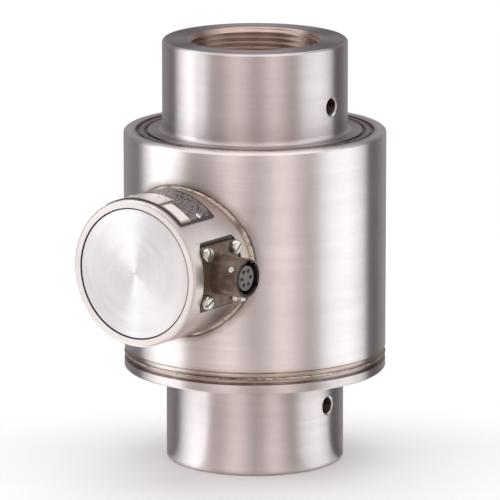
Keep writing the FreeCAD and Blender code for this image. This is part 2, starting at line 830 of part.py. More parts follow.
nodes = {
    "spring_element": spring_element,
    "casing_tube": casing_tube,
    "casing_base_weld": casing_base_weld,
    "casing_top_weld": casing_top_weld,
    "terminal_housing": terminal_housing,
    "housing_weld": housing_weld,
    "housing_cover": housing_cover,
    "cover_seal": cover_seal,
    "receptacle_gasket": receptacle_gasket,
    "receptacle_shell": receptacle_shell,
    "bayonet_pins": lambda: to_receptacle(Part.makeCompound(bayonet_pin_solids(bayonet_pin_rise))),
    "receptacle_insert": receptacle_insert,
    "receptacle_contacts": receptacle_contacts,
    "flange_screws": flange_screws,
    "nameplate": nameplate,
    "nameplate_pins": lambda: Part.makeCompound(plate_pins(plate_pin_length, plate_pin_head_height)),
    "strain_gauges": strain_gauges,
    "terminal_strips": terminal_strips,
    "bridge_wires": bridge_wires,
    "gauge_lead": gauge_lead,
    "port_bushing": port_bushing,
    "board_standoffs": board_standoffs,
    "terminal_board": terminal_board,
    "board_screws": board_screws,
    "trim_resistors": trim_resistors,
    "solder_turrets": solder_turrets,
    "hookup_wires": hookup_wires,
}

os.makedirs("parts", exist_ok=True)
for name, make in nodes.items():
    shape = make()
    shape.exportStep("parts/" + name + ".step")
    print(name, "solids", len(shape.Solids), "valid", shape.isValid(), "volume", round(shape.Volume, 2))
print("total height", total_height, "housing axis height", housing_z)
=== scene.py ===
import math

import bmesh
import bpy
import numpy as np
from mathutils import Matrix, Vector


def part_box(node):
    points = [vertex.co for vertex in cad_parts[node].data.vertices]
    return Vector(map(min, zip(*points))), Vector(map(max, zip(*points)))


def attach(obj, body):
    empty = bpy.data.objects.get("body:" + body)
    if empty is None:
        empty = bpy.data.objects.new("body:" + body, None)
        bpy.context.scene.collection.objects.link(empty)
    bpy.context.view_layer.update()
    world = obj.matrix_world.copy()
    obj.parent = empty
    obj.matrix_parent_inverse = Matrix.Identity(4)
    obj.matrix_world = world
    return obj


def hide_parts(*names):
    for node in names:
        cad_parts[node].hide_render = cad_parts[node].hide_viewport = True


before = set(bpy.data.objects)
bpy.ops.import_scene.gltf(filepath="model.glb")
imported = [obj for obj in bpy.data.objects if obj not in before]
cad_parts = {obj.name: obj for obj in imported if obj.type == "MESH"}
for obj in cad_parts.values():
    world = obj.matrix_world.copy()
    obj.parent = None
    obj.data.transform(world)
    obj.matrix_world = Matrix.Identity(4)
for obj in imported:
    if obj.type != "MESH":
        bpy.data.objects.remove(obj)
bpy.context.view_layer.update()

# Lengths are written in millimetres and turned into metres where a mesh is made.
# The load axis is Z, the side housing points to -Y and its receptacle to +X.
MM = 0.001


def node_box(node):
    """A node's lowest and highest corner in millimetres."""
    low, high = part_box(node)
    return low / MM, high / MM


# Places read from the frame
can_high = node_box("casing_tube")[1]
housing_low, housing_high = node_box("terminal_housing")
cover_low, cover_high = node_box("housing_cover")
flange_low, flange_high = node_box("receptacle_shell")
gasket_low, gasket_high = node_box("receptacle_gasket")
insert_low, insert_high = node_box("receptacle_insert")
total_height = node_box("spring_element")[1].z
can_r = can_high.x
can_top = can_high.z
housing_r = (housing_high.z - housing_low.z) / 2
housing_z = (housing_high.z + housing_low.z) / 2
housing_front = -housing_low.y
cover_r = (cover_high.x - cover_low.x) / 2
cover_front = -cover_low.y
cover_back = -cover_high.y
receptacle_y = (flange_high.y + flange_low.y) / 2
shell_mouth = flange_high.x
flange_half = (flange_high.y - flange_low.y) / 2
seat_x = gasket_low.x
gasket_front = gasket_high.x
insert_back = insert_low.x
nose_front = insert_high.x

# Bosses and sockets
lower_boss_r = 34.45
upper_boss_r = 35.85
can_bottom = 36.2
boss_edge = 0.8
boss_foot_r = 2.0
can_edge = 0.7
spanner_r = 3.175
spanner_depth = 7.5
spanner_chamfer = 0.5
drill_point = math.radians(31)
upper_spanner_z = total_height - 23.0
lower_spanner_z = 24.5
thread_major_r = 25.4
thread_pitch = 25.4 / 12
thread_minor_r = thread_major_r - 1.0825 * thread_pitch / 2
mouth_r = thread_major_r + 0.5
thread_end = mouth_r - thread_minor_r + 36.0
relief_end = thread_end + 5.0
relief_r = thread_major_r + 0.6
socket_cone = math.radians(12)
socket_apex = relief_end + relief_r * math.tan(socket_cone)

# Welded joints
groove_r = can_r - 1.5
lip_r = can_r - 0.5
base_groove_low = 39.8
base_lip_low = 41.6
joint_z = 42.15
base_lip_high = 42.7
base_groove_high = 44.8
pilot_r = 43.85
casing_inner_r = 43.95
top_groove_z = can_top - 1.4
top_lip_z = can_top - 0.4
top_inner_groove_r = 41.55
top_inner_lip_r = 42.9
top_outer_lip_r = 44.9
top_outer_groove_r = 46.25
bead_rise = 0.6
ripple_pitch = 0.95

# Inside of the element
hub_r = 30.0
hub_low = 45.75
column_low = 51.75
column_high = 112.7
column_r = 22.0
column_half = 17.0
column_fillet = 8.0
diaphragm_z = 126.7

# Side housing
port_r = 4.0
bore_r = 21.0
housing_floor = 53.4
# The blank starts well inside the can, whose round wall then cuts its back
blank_start = housing_floor - 18
cover_seat_r = cover_r + 0.15
cover_edge = 0.25
seal_groove_depth = 1.05
seal_groove_half = 0.7
housing_edge = 0.7
fillet_leg = 1.1
pocket_half_height = 14.5
pocket_half_width = flange_half + 0.5
pocket_corner_r = 6.0

# Receptacle
flange_thickness = 1.6
flange_front = gasket_front + flange_thickness
flange_corner_r = 2.4
flange_overlap = 0.2
hole_half_spacing = flange_half - 2.785
shell_r = 7.495
shell_bore_r = 6.1
rear_shell_r = 7.1
rear_clearance = 0.2
barrel_step = 3.75
keyway_depth = 0.75
keyway_length = 7.0
mouth_edge = 0.25
mouth_chamfer = 0.55
mouth_chamfer_length = 0.75
keyways = {180: 2.4, 60: 1.5, 145: 1.5, 215: 1.5, 300: 1.5}
pin_angles = (0, 120, 240)
pin_from_mouth = 2.9
pin_r = 1.1
pin_rise = 1.3
pin_root = shell_bore_r + 0.55
nose_r = 4.8
nose_back = nose_front - 7.9
contact_count = 6
contact_circle_r = 2.9
contact_r = 0.8
contact_bore_r = 0.525
contact_bore_depth = 6.0
contact_recess = 0.6
screw_head_r = 2.78
screw_head_height = 1.9
screw_slot_width = 0.85
screw_slot_depth = 0.9
screw_r = 1.42
screw_clearance = 0.1
screw_length = 6.3
screw_slot_angles = (40, 70, 103, 22)

# Nameplate
plate_thickness = 0.45
plate_width = 21.8
plate_front = housing_front - 2.4
plate_back = plate_front - plate_width
plate_angles = (-32.0, 45.0)
plate_corner_r = 0.9
plate_edge = 0.08
plate_segment = 0.8
plate_pin_y = housing_front - 15.8
plate_pin_angles = (-27.2, 40.2)
plate_pin_r = 1.2
plate_pin_shank_r = 0.75
plate_pin_length = 3.0
plate_pin_rim = 0.12
plate_pin_height = 0.5

# How finely round things are cut, how round edges are, and the turn up to which a corner is none
TURN = 256
HOLE_STEPS = 12
EDGE = 0.16
STRAIGHT = 18

# A hole in a round wall sits in a square window. This is half its width as an angle.
WINDOW = HOLE_STEPS * math.pi / TURN
HOLE_ANGLES = np.radians(-45 + 360 * np.arange(4 * HOLE_STEPS) / (4 * HOLE_STEPS))
HOLE_CIRCLE = np.stack([np.cos(HOLE_ANGLES), np.sin(HOLE_ANGLES)])


def clean(mesh, merge, dissolve=False):
    """Joins the points of a mesh that meet and turns its faces outwards."""
    work = bmesh.new()
    work.from_mesh(mesh)
    bmesh.ops.remove_doubles(work, verts=work.verts, dist=merge)
    if dissolve:
        bmesh.ops.dissolve_degenerate(work, edges=work.edges, dist=merge)
    bmesh.ops.recalc_face_normals(work, faces=work.faces)
    work.to_mesh(mesh)
    work.free()


def new_object(name, data):
    """A linked object for a mesh, curve, lamp or camera."""
    obj = bpy.data.objects.new(name, data)
    bpy.context.scene.collection.objects.link(obj)
    return obj


class Skin:
    """Collects grids of points and joins them into one mesh."""

    def __init__(self):
        self.points = []
        self.faces = []

    def grid(self, rows, closed=True, keep=None):
        """Quads between rows of points. keep(row, column) says which quads stay."""
        rows = np.asarray(rows, float)
        start = len(self.points)
        count, width = rows.shape[:2]
        self.points.extend(rows.reshape(-1, 3).tolist())
        last = width if closed else width - 1
        for i in range(count - 1):
            for j in range(last):
                if keep is None or keep(i, j):
                    k = (j + 1) % width
                    a, b = start + i * width, start + (i + 1) * width
                    self.faces.append((a + j, a + k, b + k, b + j))

    def turn(self, outline):
        """An outline of (radius, height) with softened corners, turned about Z."""
        self.grid(turned(soften(outline)))

    def object(self, name, merge=0.002):
        """One object with its mesh in metres."""
        mesh = bpy.data.meshes.new(name)
        mesh.from_pydata([tuple(c * MM for c in p) for p in self.points], [], self.faces)
        clean(mesh, merge * MM, dissolve=True)
        return new_object(name, mesh)


def finish_piece(obj, slot, node, sharp=32):
    """Smooth shading with sharp corners, a finish, and a place in the frame."""
    obj.data.polygons.foreach_set("use_smooth", [True] * len(obj.data.polygons))
    obj.data.set_sharp_from_angle(angle=math.radians(sharp))
    obj.data.materials.clear()
    obj.data.materials.append(materials[slot])
    weigh = obj.modifiers.new("weigh", "WEIGHTED_NORMAL")
    weigh.keep_sharp = True
    weigh.weight = 80
    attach(obj, "root")
    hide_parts(node)


def evaluated_mesh(obj):
    """The mesh that an object's modifiers or its curve make."""
    graph = bpy.context.evaluated_depsgraph_get()
    return bpy.data.meshes.new_from_object(obj.evaluated_get(graph))


def subtract(obj, cutters):
    """Cuts closed meshes out of an object."""
    for cutter in cutters:
        cut = obj.modifiers.new("cut", "BOOLEAN")
        cut.operation = "DIFFERENCE"
        cut.solver = "EXACT"
        cut.object = cutter
    mesh = evaluated_mesh(obj)
    obj.modifiers.clear()
    obj.data = mesh
    for cutter in cutters:
        bpy.data.objects.remove(cutter)
    return obj


def join(name, objects):
    """Several objects as one."""
    work = bmesh.new()
    for obj in objects:
        work.from_mesh(obj.data)
    mesh = bpy.data.meshes.new(name)
    work.to_mesh(mesh)
    work.free()
    for obj in objects:
        bpy.data.objects.remove(obj)
    return new_object(name, mesh)


def soften(points, radius=EDGE):
    """An outline with each sharp corner rounded a little."""
    points = [np.array(p, float) for p in points]
    out = [points[0]]
    for before, corner, after in zip(points, points[1:], points[2:]):
        back, on = before - corner, after - corner
        lengths = np.linalg.norm([back, on], axis=1)
        if lengths.min() < 1e-6:
            continue
        if -np.dot(back, on) > lengths.prod() * math.cos(math.radians(STRAIGHT)):
            out.append(corner)
            continue
        reach = min(radius, 0.4 * lengths.min())
        start = corner + back / lengths[0] * reach
        end = corner + on / lengths[1] * reach
        for t in (0, 0.33, 0.67, 1):
            out.append((1 - t) ** 2 * start + 2 * t * (1 - t) * corner + t * t * end)
    out.append(points[-1])
    return out


def arc(centre, radius, start, end):
    """Points of an arc in the outline plane, in degrees."""
    angles = np.radians(np.linspace(start, end, 9))
    return [(centre[0] + radius * math.cos(a), centre[1] + radius * math.sin(a)) for a in angles]


def stairs(radius, height, *onward):
    """An outline of square steps. After its first point come a height, a radius and so on."""
    points = [(radius, height)]
    for index, value in enumerate(onward):
        if index % 2:
            radius = value
        else:
            height = value
        points.append((radius, height))
    return points


def circle(radius, x=0.0, y=0.0, count=48):
    """A round outline."""
    angles = 2 * np.pi * np.arange(count) / count
    return np.stack([x + radius * np.cos(angles), y + radius * np.sin(angles)], 1)


def rounded_rectangle(half_x, half_y, radius):
    """An outline with round corners, counterclockwise."""
    points = []
    for x, y, start in ((1, 1, 0), (-1, 1, 90), (-1, -1, 180), (1, -1, 270)):
        centre = (x * (half_x - radius), y * (half_y - radius))
        points += arc(centre, radius, start, start + 90)
    return points


def ring(radius, height, count=TURN):
    """A ring of points about Z. Radius and height may vary round the ring."""
    angles = 2 * np.pi * np.arange(count) / count
    radius = np.broadcast_to(radius, angles.shape)
    height = np.broadcast_to(height, angles.shape)
    return np.stack([radius * np.cos(angles), radius * np.sin(angles), height], 1)


def turned(points, count=TURN):
    """Rings of points from an outline of (radius, height)."""
    return [ring(r, z, count) for r, z in points]


def xyz(rows):
    """The three coordinates of every point."""
    return np.moveaxis(np.asarray(rows, float), -1, 0)


def to_housing(rows):
    """From the housing's frame, where Z is its axis and Y is up, to its place."""
    x, y, z = xyz(rows)
    return np.stack([x, -z, y + housing_z], -1)


def to_receptacle(rows):
    """From the receptacle's frame, where Z points out of its mouth and -X is up, to its place."""
    x, y, z = xyz(rows)
    return np.stack([z, y + receptacle_y, housing_z - x], -1)


def on_receptacle(x, y, z=0.0):
    """The way from a small part's own frame to a place in the receptacle's frame."""
    return lambda rows: to_receptacle(np.asarray(rows, float) + (x, y, z))


def turned_about_z(rows, degrees):
    """Points turned about Z."""
    x, y, z = xyz(rows)
    c, s = math.cos(math.radians(degrees)), math.sin(math.radians(degrees))
    return np.stack([x * c - y * s, x * s + y * c, z], -1)


def standing(turn, along, place):
    """The way from a pin's own frame to one where it stands out from the axis, at a turn in degrees."""

    def stand(rows):
        x, y, z = xyz(rows)
        return place(turned_about_z(np.stack([z, y, along - x], -1), turn))

    return stand


def turned_piece(name, outline, place, count=TURN):
    """An object turned from an outline that starts and ends on the axis."""
    skin = Skin()
    skin.grid(place(turned(outline, count)))
    return skin.object(name)


def copies(name, outline, places, count):
    """The same turned shape at several places, as one object."""
    return join(name, [turned_piece(f"{name}_copy", outline, place, count) for place in places])


def prism(name, outline, low, high, place):
    """A closed prism from a flat outline."""
    count = len(outline)
    skin = Skin()
    skin.grid(place([np.column_stack([outline, np.full(count, z)]) for z in (low, high)]))
    skin.faces += [tuple(range(count))[::-1], tuple(range(count, 2 * count))]
    return skin.object(name, merge=0.0001)


def flat_plate(name, loops, low, high, edge, place):
    """A flat plate with holes and rounded edges, from its outer loop and its holes."""
    curve = bpy.data.curves.new(name, "CURVE")
    curve.dimensions = "2D"
    curve.fill_mode = "BOTH"
    for loop in loops:
        spline = curve.splines.new("POLY")
        spline.points.add(len(loop) - 1)
        for point, (x, y) in zip(spline.points, loop):
            point.co = (x, y, 0, 1)
        spline.use_cyclic_u = True
    curve.extrude = (high - low) / 2 - edge
    curve.bevel_depth = edge
    curve.bevel_resolution = 2
    curve.offset = -edge
    holder = new_object(name, curve)
    mesh = evaluated_mesh(holder)
    bpy.data.objects.remove(holder)
    points = np.empty(len(mesh.vertices) * 3)
    mesh.vertices.foreach_get("co", points)
    points = points.reshape(-1, 3) + (0, 0, (low + high) / 2)
    mesh.vertices.foreach_set("co", (place(points) * MM).ravel())
    clean(mesh, 1e-6)
    return new_object(name, mesh)


def on_wall(wall_r, across, height):
    """Points on a round wall where it faces +X."""
    return np.stack([np.sqrt(wall_r ** 2 - across ** 2), across, height], 1)


def window_wall(skin, wall_r, low, high, centre_z, half, turns):
    """A round wall with a window of this half height left open at each turn, in degrees."""
    heights = [low] + list(centre_z + half * np.linspace(-1, 1, HOLE_STEPS + 1)) + [high]

    def keep(i, j):
        columns = [(j + HOLE_STEPS // 2 - TURN * turn // 360) % TURN for turn in turns]
        return not (1 <= i <= HOLE_STEPS and min(columns) < HOLE_STEPS)

    skin.grid(turned([(wall_r, z) for z in heights]), keep=keep)


def wall_patch(skin, wall_r, centre_z, half, edge, turn, shares, by_arc):
    """Fills a window in a round wall, from its border to the edge of a hole across it.

    The border follows the wall's own arc, and the hole's edge its true width. The rows
    between them are spaced by arc or by width.
    """
    side = np.linspace(-1, 1, HOLE_STEPS + 1)[:-1]
    square = [(1, v) for v in side] + [(-v, 1) for v in side]
    square += [(-1, -v) for v in side] + [(v, -1) for v in side]
    border = np.array(square) * (WINDOW * wall_r, half)
    if not by_arc:
        border[:, 0] = np.sin(border[:, 0] / wall_r) * wall_r
    rows = []
    for share in shares:
        across, up = (border * (1 - share) + (edge * HOLE_CIRCLE).T * share).T
        if by_arc and share < 1:
            across = np.sin(across / wall_r) * wall_r
        rows.append(on_wall(wall_r, across, up + centre_z))
    skin.grid(turned_about_z(rows, turn))


def spanner_hole(skin, wall_r, centre_z, half, turn):
    """A blind hole with a chamfered mouth in a boss's wall."""
    across, up = HOLE_CIRCLE
    start = math.sqrt(wall_r ** 2 - spanner_r ** 2) - spanner_chamfer
    edge = np.full(len(up), spanner_r + spanner_chamfer)
    # The chamfer widens until it meets the round wall
    for _ in range(20):
        edge = spanner_r + np.sqrt(wall_r ** 2 - (edge * across) ** 2) - start
    wall_patch(skin, wall_r, centre_z, half, edge, turn, (0, 0.25, 0.55, 0.8, 1), True)
    rows = [on_wall(wall_r, edge * across, centre_z + edge * up)]
    bottom = wall_r - spanner_depth
    tip = bottom - spanner_r * math.tan(drill_point)
    for x, radius in ((start, spanner_r), (bottom, spanner_r), (tip, 0)):
        rows.append(np.stack([np.full(len(up), x), radius * across, centre_z + radius * up], 1))
    skin.grid(turned_about_z(rows, turn))


def boss_wall(skin, wall_r, low, high, centre_z):
    """A boss's wall with two opposite spanner holes."""
    half = WINDOW * wall_r
    window_wall(skin, wall_r, low, high, centre_z, half, (0, 180))
    for turn in (0, 180):
        spanner_hole(skin, wall_r, centre_z, half, turn)


def thread_rows():
    """The wall of one threaded socket that opens downwards at Z = 0, as rows along its helix."""
    # Crest, flank, root and flank of one turn, as shares of the pitch
    turn = [(0.0, thread_minor_r), (0.25, thread_minor_r), (0.5625, thread_major_r),
            (0.6875, thread_major_r), (1.0, thread_minor_r)]
    places = []
    for index in range(-2, int(thread_end / thread_pitch) + 2):
        # The first turns run through the mouth's chamfer and are cut more finely
        steps = 5 if index < 2 else 1
        for (a, ra), (b, rb) in zip(turn, turn[1:]):
            for share in np.arange(steps) / steps:
                places.append(((index + a + (b - a) * share) * thread_pitch, ra + (rb - ra) * share))
    around = np.arange(TURN + 1) / TURN
    angle = 2 * np.pi * around
    rows = []
    for base, radius in places:
        height = np.clip(base + thread_pitch * around, 0, thread_end)
        radius = np.maximum(radius, mouth_r - height)
        rows.append(np.stack([radius * np.cos(angle), radius * np.sin(angle), height], 1))
    return np.array(rows)


def socket(skin, flip):
    """A threaded socket with its relief and cone, at the lower end or flipped to the upper one."""

    def place(rows):
        x, y, z = xyz(rows)
        return np.stack([x, -y, total_height - z] if flip else [x, y, z], -1)

    wall = thread_rows()
    skin.grid(place(wall), closed=False)
    end_ring = wall[-1][:-1].copy()
    end_ring[:, 2] = thread_end
    rows = [end_ring] + turned([(relief_r, thread_end), (relief_r, relief_end), (0, socket_apex)])
    skin.grid(place(rows))


def column_rows(skin):
    """The gauged column: round at its ends, square between."""
    outline = arc((column_r + column_fillet, column_low + column_fillet), column_fillet, 270, 180)
    outline += arc((column_r + column_fillet, column_high - column_fillet), column_fillet, 180, 90)
    flat_low = column_low + column_fillet - 2
    flat_high = column_high - column_fillet + 2
    angles = 2 * np.pi * np.arange(TURN) / TURN
    flat_r = column_half / np.maximum(abs(np.cos(angles)), abs(np.sin(angles)))
    skin.grid([ring(np.minimum(r, flat_r) if flat_low < z < flat_high else r, z) for r, z in outline])


def spring_element_piece():
    """The element: bosses, flange, grooves, diaphragm, column and both threaded sockets."""
    skin = Skin()
    socket(skin, False)
    socket(skin, True)
    skin.turn([(mouth_r, 0), (lower_boss_r - boss_edge, 0), (lower_boss_r, boss_edge),
               (lower_boss_r, boss_edge + 1)])
    boss_wall(skin, lower_boss_r, boss_edge + 1, can_bottom - 1, lower_spanner_z)
    lower = stairs(lower_boss_r, can_bottom - 1, can_bottom, can_r - can_edge)
    lower += stairs(can_r, can_bottom + can_edge, base_groove_low, groove_r, base_lip_low, lip_r,
                    joint_z, pilot_r, hub_low, hub_r, column_low)
    skin.turn(lower)
    column_rows(skin)
    upper = stairs(hub_r, column_high, diaphragm_z, pilot_r, top_lip_z, top_inner_lip_r, top_groove_z,
                   top_inner_groove_r, can_top)
    upper += arc((upper_boss_r + boss_foot_r, can_top + boss_foot_r), boss_foot_r, 270, 180)
    upper += [(upper_boss_r, can_top + boss_foot_r + 1)]
    skin.turn(upper)
    wall_high = total_height - boss_edge
    boss_wall(skin, upper_boss_r, can_top + boss_foot_r + 1, wall_high - 1, upper_spanner_z)
    skin.turn([(upper_boss_r, wall_high - 1), (upper_boss_r, wall_high),
               (upper_boss_r - boss_edge, total_height), (mouth_r, total_height)])
    finish_piece(skin.object("element"), "element_steel", "spring_element")


def casing_piece():
    """The can's tube with its grooves and the port behind the housing."""
    skin = Skin()
    wall_low = base_groove_high + 1
    wall_high = can_top - can_edge - 1
    base = stairs(lip_r, joint_z, base_lip_high, groove_r, base_groove_high, can_r, wall_low)
    skin.turn([(casing_inner_r, joint_z)] + base)
    top = stairs(can_r, wall_high, wall_high + 1) + [(can_r - can_edge, can_top)]
    top += stairs(top_outer_groove_r, can_top, top_groove_z, top_outer_lip_r, top_lip_z, casing_inner_r)
    skin.turn(top)
    half = WINDOW * can_r
    across, up = port_r * HOLE_CIRCLE
    rims = []
    for radius, low, high in ((can_r, wall_low, wall_high), (casing_inner_r, joint_z, top_lip_z)):
        window_wall(skin, radius, low, high, housing_z, half, (270,))
        wall_patch(skin, radius, housing_z, half, port_r, 270, (0, 0.5, 1), False)
        rims.append(on_wall(radius, across, housing_z + up))
    skin.grid(turned_about_z(rims, 270))
    finish_piece(skin.object("casing"), "casing_steel", "casing_tube")


def ripple(angle, across, waves, seed):
    """The height of a weld's overlapping ripples, from 0 to 1."""
    phase = waves * angle - 2.2 * (1 - (2 * across - 1) ** 2)
    drift = 0.35 * np.sin(3 * angle + seed) + 0.25 * np.sin(7 * angle + 2 * seed)
    wave = (phase + drift) / (2 * np.pi) % 1.0
    return wave * (1 - wave ** 6)


def ripples_round(radius):
    """How many ripples a bead of this radius has, and the angles of its points."""
    waves = round(2 * math.pi * radius / ripple_pitch)
    count = waves * 6
    return waves, 2 * np.pi * np.arange(count) / count


def ring_bead(name, node, low_point, high_point, outward):
    """A weld bead round the load axis with fine ripples, between two corners of its seat."""
    low_point = np.array(low_point, float)
    high_point = np.array(high_point, float)
    middle_r = (low_point[0] + high_point[0]) / 2
    waves, angles = ripples_round(middle_r)
    rows = []
    for share in np.linspace(0, 1, 9):
        base = low_point * (1 - share) + high_point * share
        crown = math.sin(math.pi * share) ** 0.8
        height = bead_rise * crown * (0.86 + 0.14 * ripple(angles, share, waves, middle_r))
        rows.append(ring(base[0] + outward[0] * height, base[1] + outward[1] * height, len(angles)))
    skin = Skin()
    skin.grid(rows + rows[:1])
    finish_piece(skin.object(name, merge=0.0005), "weld_steel", node, sharp=75)


def housing_bead_piece():
    """The fillet weld where the side housing meets the can."""
    waves, angles = ripples_round(housing_r)
    none = np.zeros(len(angles))
    x = housing_r * np.sin(angles)
    y = -np.sqrt(can_r ** 2 - x ** 2)
    seat = np.stack([x, y, housing_r * np.cos(angles) + housing_z], 1)
    off_can = np.stack([x / can_r, y / can_r, none], 1)
    off_housing = np.stack([np.sin(angles), none, np.cos(angles)], 1)
    # The leg on the can runs along its surface, square to the line of the joint
    on_can = off_housing - off_can * (off_housing * off_can).sum(1)[:, None]
    on_can /= np.linalg.norm(on_can, axis=1)[:, None]
    forward = np.array([0, -1, 0])
    rows = [seat]
    for share in np.linspace(0, 1, 8):
        turn = share * math.pi / 2
        height = fillet_leg * (0.84 + 0.16 * ripple(angles, share, waves, 1.7))
        rows.append(seat + (on_can * math.cos(turn) + forward * math.sin(turn)) * height[:, None])
    skin = Skin()
    skin.grid(rows + [seat])
    finish_piece(skin.object("housing_bead", merge=0.0005), "weld_steel", "housing_weld", sharp=75)


def flange_screw_places():
    """The screw places in the receptacle's frame, each with the turn of its slot."""
    near = hole_half_spacing
    places = ((-near, near), (near, near), (-near, -near), (near, -near))
    return list(zip(places, screw_slot_angles))


def housing_piece():
    """The side housing: a bored cup with a saddle back, a pocket and screw holes."""
    outline = [(0, blank_start)] + stairs(housing_r, blank_start, housing_front - housing_edge)
    outline += [(housing_r - housing_edge, housing_front)]
    outline += stairs(cover_seat_r, housing_front, cover_back, bore_r, housing_floor, 0)
    obj = turned_piece("housing", soften(outline), to_housing)
    saddle = prism("saddle", circle(can_r, count=TURN), 0, total_height, np.array)
    pocket = prism("pocket", rounded_rectangle(pocket_half_height, pocket_half_width, pocket_corner_r),
                   seat_x, housing_r + 2, to_receptacle)
    sleeve = prism("sleeve", circle(rear_shell_r + rear_clearance, count=64), 5, housing_r, to_receptacle)
    port = prism("port", circle(port_r), 0, housing_floor + 5, to_housing)
    holes = [prism("hole", circle(screw_r, x, y), seat_x - screw_length, seat_x + 1, to_receptacle)
             for (x, y), _ in flange_screw_places()]
    finish_piece(subtract(obj, [saddle, pocket, sleeve, port] + holes), "housing_steel",
                 "terminal_housing")


def cover_piece():
    """The turned cover with the groove for its seal."""
    middle = (cover_front - cover_edge + cover_back) / 2
    outline = stairs(cover_r, cover_back, middle - seal_groove_half, cover_r - seal_groove_depth,
                     middle + seal_groove_half, cover_r, cover_front - cover_edge)
    outline = [(0, cover_back)] + outline + [(cover_r - cover_edge, cover_front), (0, cover_front)]
    finish_piece(turned_piece("cover", soften(outline, 0.1), to_housing), "cover_steel", "housing_cover")


def barrel():
    """The receptacle's barrel with keyways in its mouth, in its own frame."""
    angles = list(np.arange(0, 360, barrel_step))
    halves = {turn: math.degrees(width / 2 / shell_bore_r) for turn, width in keyways.items()}
    for turn, half in halves.items():
        angles += [turn - half, turn - half + 0.4, turn + half - 0.4, turn + half]
    angles = np.array(sorted(set(angles)))
    deep = np.full(len(angles), shell_bore_r)
    for turn, half in halves.items():
        deep[abs(angles - turn) < half - 0.2] += keyway_depth
    radians = np.radians(angles)

    def loop(radius, z):
        return np.stack([radius * np.cos(radians), radius * np.sin(radians),
                         np.full(len(radians), z)], 1)

    keyway_end = shell_mouth - keyway_length
    outline = stairs(shell_bore_r, keyway_end, insert_back, rear_shell_r, gasket_front, shell_r,
                     flange_front + 0.4)
    outline += [(shell_r, shell_mouth - mouth_chamfer_length), (shell_r - mouth_chamfer, shell_mouth)]
    rows = [loop(r, z) for r, z in soften(outline)]
    rows += [loop(np.maximum(deep, shell_bore_r + mouth_edge), shell_mouth)]
    rows += [loop(deep, shell_mouth - mouth_edge)]
    rows += [loop(deep, keyway_end), loop(shell_bore_r, keyway_end)]
    skin = Skin()
    skin.grid(to_receptacle(rows))
    return skin.object("barrel")


def flange_loops(middle_r):
    """The outline of the flange, its middle hole and its screw holes."""
    loops = [rounded_rectangle(flange_half, flange_half, flange_corner_r), circle(middle_r)]
    return loops + [circle(screw_r + screw_clearance, x, y, 32) for (x, y), _ in flange_screw_places()]


def receptacle_piece():
    """The receptacle's shell: a square flange with its barrel."""
    flange = flat_plate("flange", flange_loops(shell_r - flange_overlap), gasket_front, flange_front, EDGE,
                        to_receptacle)
    finish_piece(join("receptacle", [flange, barrel()]), "shell_olive", "receptacle_shell")


def gasket_piece():
    """The gasket under the flange."""
    obj = flat_plate("gasket", flange_loops(rear_shell_r + rear_clearance), seat_x, gasket_front, 0.1,
                     to_receptacle)
    finish_piece(obj, "gasket_rubber", "receptacle_gasket")


def contact_places():
    """The contacts' places round the insert, in the receptacle's frame."""
    angles = [2 * math.pi * index / contact_count for index in range(contact_count)]
    return [(contact_circle_r * math.sin(a), contact_circle_r * math.cos(a)) for a in angles]


def insert_piece():
    """The insulator: a nose with its socket holes, on a wider body."""
    loops = [circle(nose_r, count=64)] + [circle(contact_r, x, y, 24) for x, y in contact_places()]
    nose = flat_plate("nose", loops, nose_back, nose_front, 0.15, to_receptacle)
    outline = [(0, insert_back)] + stairs(shell_bore_r, insert_back, nose_back, 0)
    body = turned_piece("body", outline, to_receptacle, 64)
    finish_piece(join("insert", [nose, body]), "insert_rubber", "receptacle_insert")


def contacts_piece():
    """The socket contacts with their bores."""
    back = node_box("receptacle_contacts")[0].x
    front = nose_front - contact_recess
    outline = [(0, back)] + stairs(contact_r, back, front - 0.1) + [(contact_r - 0.1, front)]
    outline += stairs(contact_bore_r, front, front - contact_bore_depth, 0)
    obj = copies("contacts", outline, [on_receptacle(x, y) for x, y in contact_places()], 24)
    finish_piece(obj, "contact_gold", "receptacle_contacts")


def bayonet_piece():
    """The bayonet pins that stand out of the barrel, each with a dimple in its end."""
    top = shell_r + pin_rise
    outline = [(0, pin_root)] + stairs(pin_r, pin_root, top, 0.5) + [(0.42, top - 0.3), (0, top - 0.3)]
    places = [standing(turn, shell_mouth - pin_from_mouth, to_receptacle) for turn in pin_angles]
    finish_piece(copies("bayonet", soften(outline, 0.2), places, 40), "pin_steel", "bayonet_pins")


def flange_screw(place, angle):
    """A slotted pan-head screw, its head above Z = 0 in its own frame."""
    side = screw_head_height / 2
    outline = [(0, -screw_length), (screw_r - 0.2, -screw_length), (screw_r, -screw_length + 0.25)]
    outline += [(screw_r, 0), (screw_head_r - 0.12, 0), (screw_head_r, 0.15), (screw_head_r, side)]
    outline += [(screw_head_r * (0.66 + 0.34 * math.cos(a)), side + side * math.sin(a))
                for a in np.radians((22, 45, 68, 90))]
    outline += [(0, screw_head_height + 0.04)]
    obj = turned_piece("screw", outline, place, 64)
    reach, half = 2 * screw_head_r, screw_slot_width / 2
    slot = [(-reach, -half), (reach, -half), (reach, half), (-reach, half)]
    cutter = prism("slot", slot, screw_head_height - screw_slot_depth, screw_head_height + 1,
                   lambda rows: place(turned_about_z(rows, angle)))
    return subtract(obj, [cutter])


def screws_piece():
    """The four screws of the flange."""
    made = [flange_screw(on_receptacle(x, y, flange_front), 90 + angle)
            for (x, y), angle in flange_screw_places()]
    finish_piece(join("screws", made), "screw_steel", "flange_screws")


def on_housing(point):
    """From a flat sheet, where X is the arc from straight up towards +X, to the housing's wall."""
    x, y, z = point
    angle = x / housing_r
    radius = housing_r + z
    return np.array([radius * math.sin(angle), -y, housing_z + radius * math.cos(angle)])


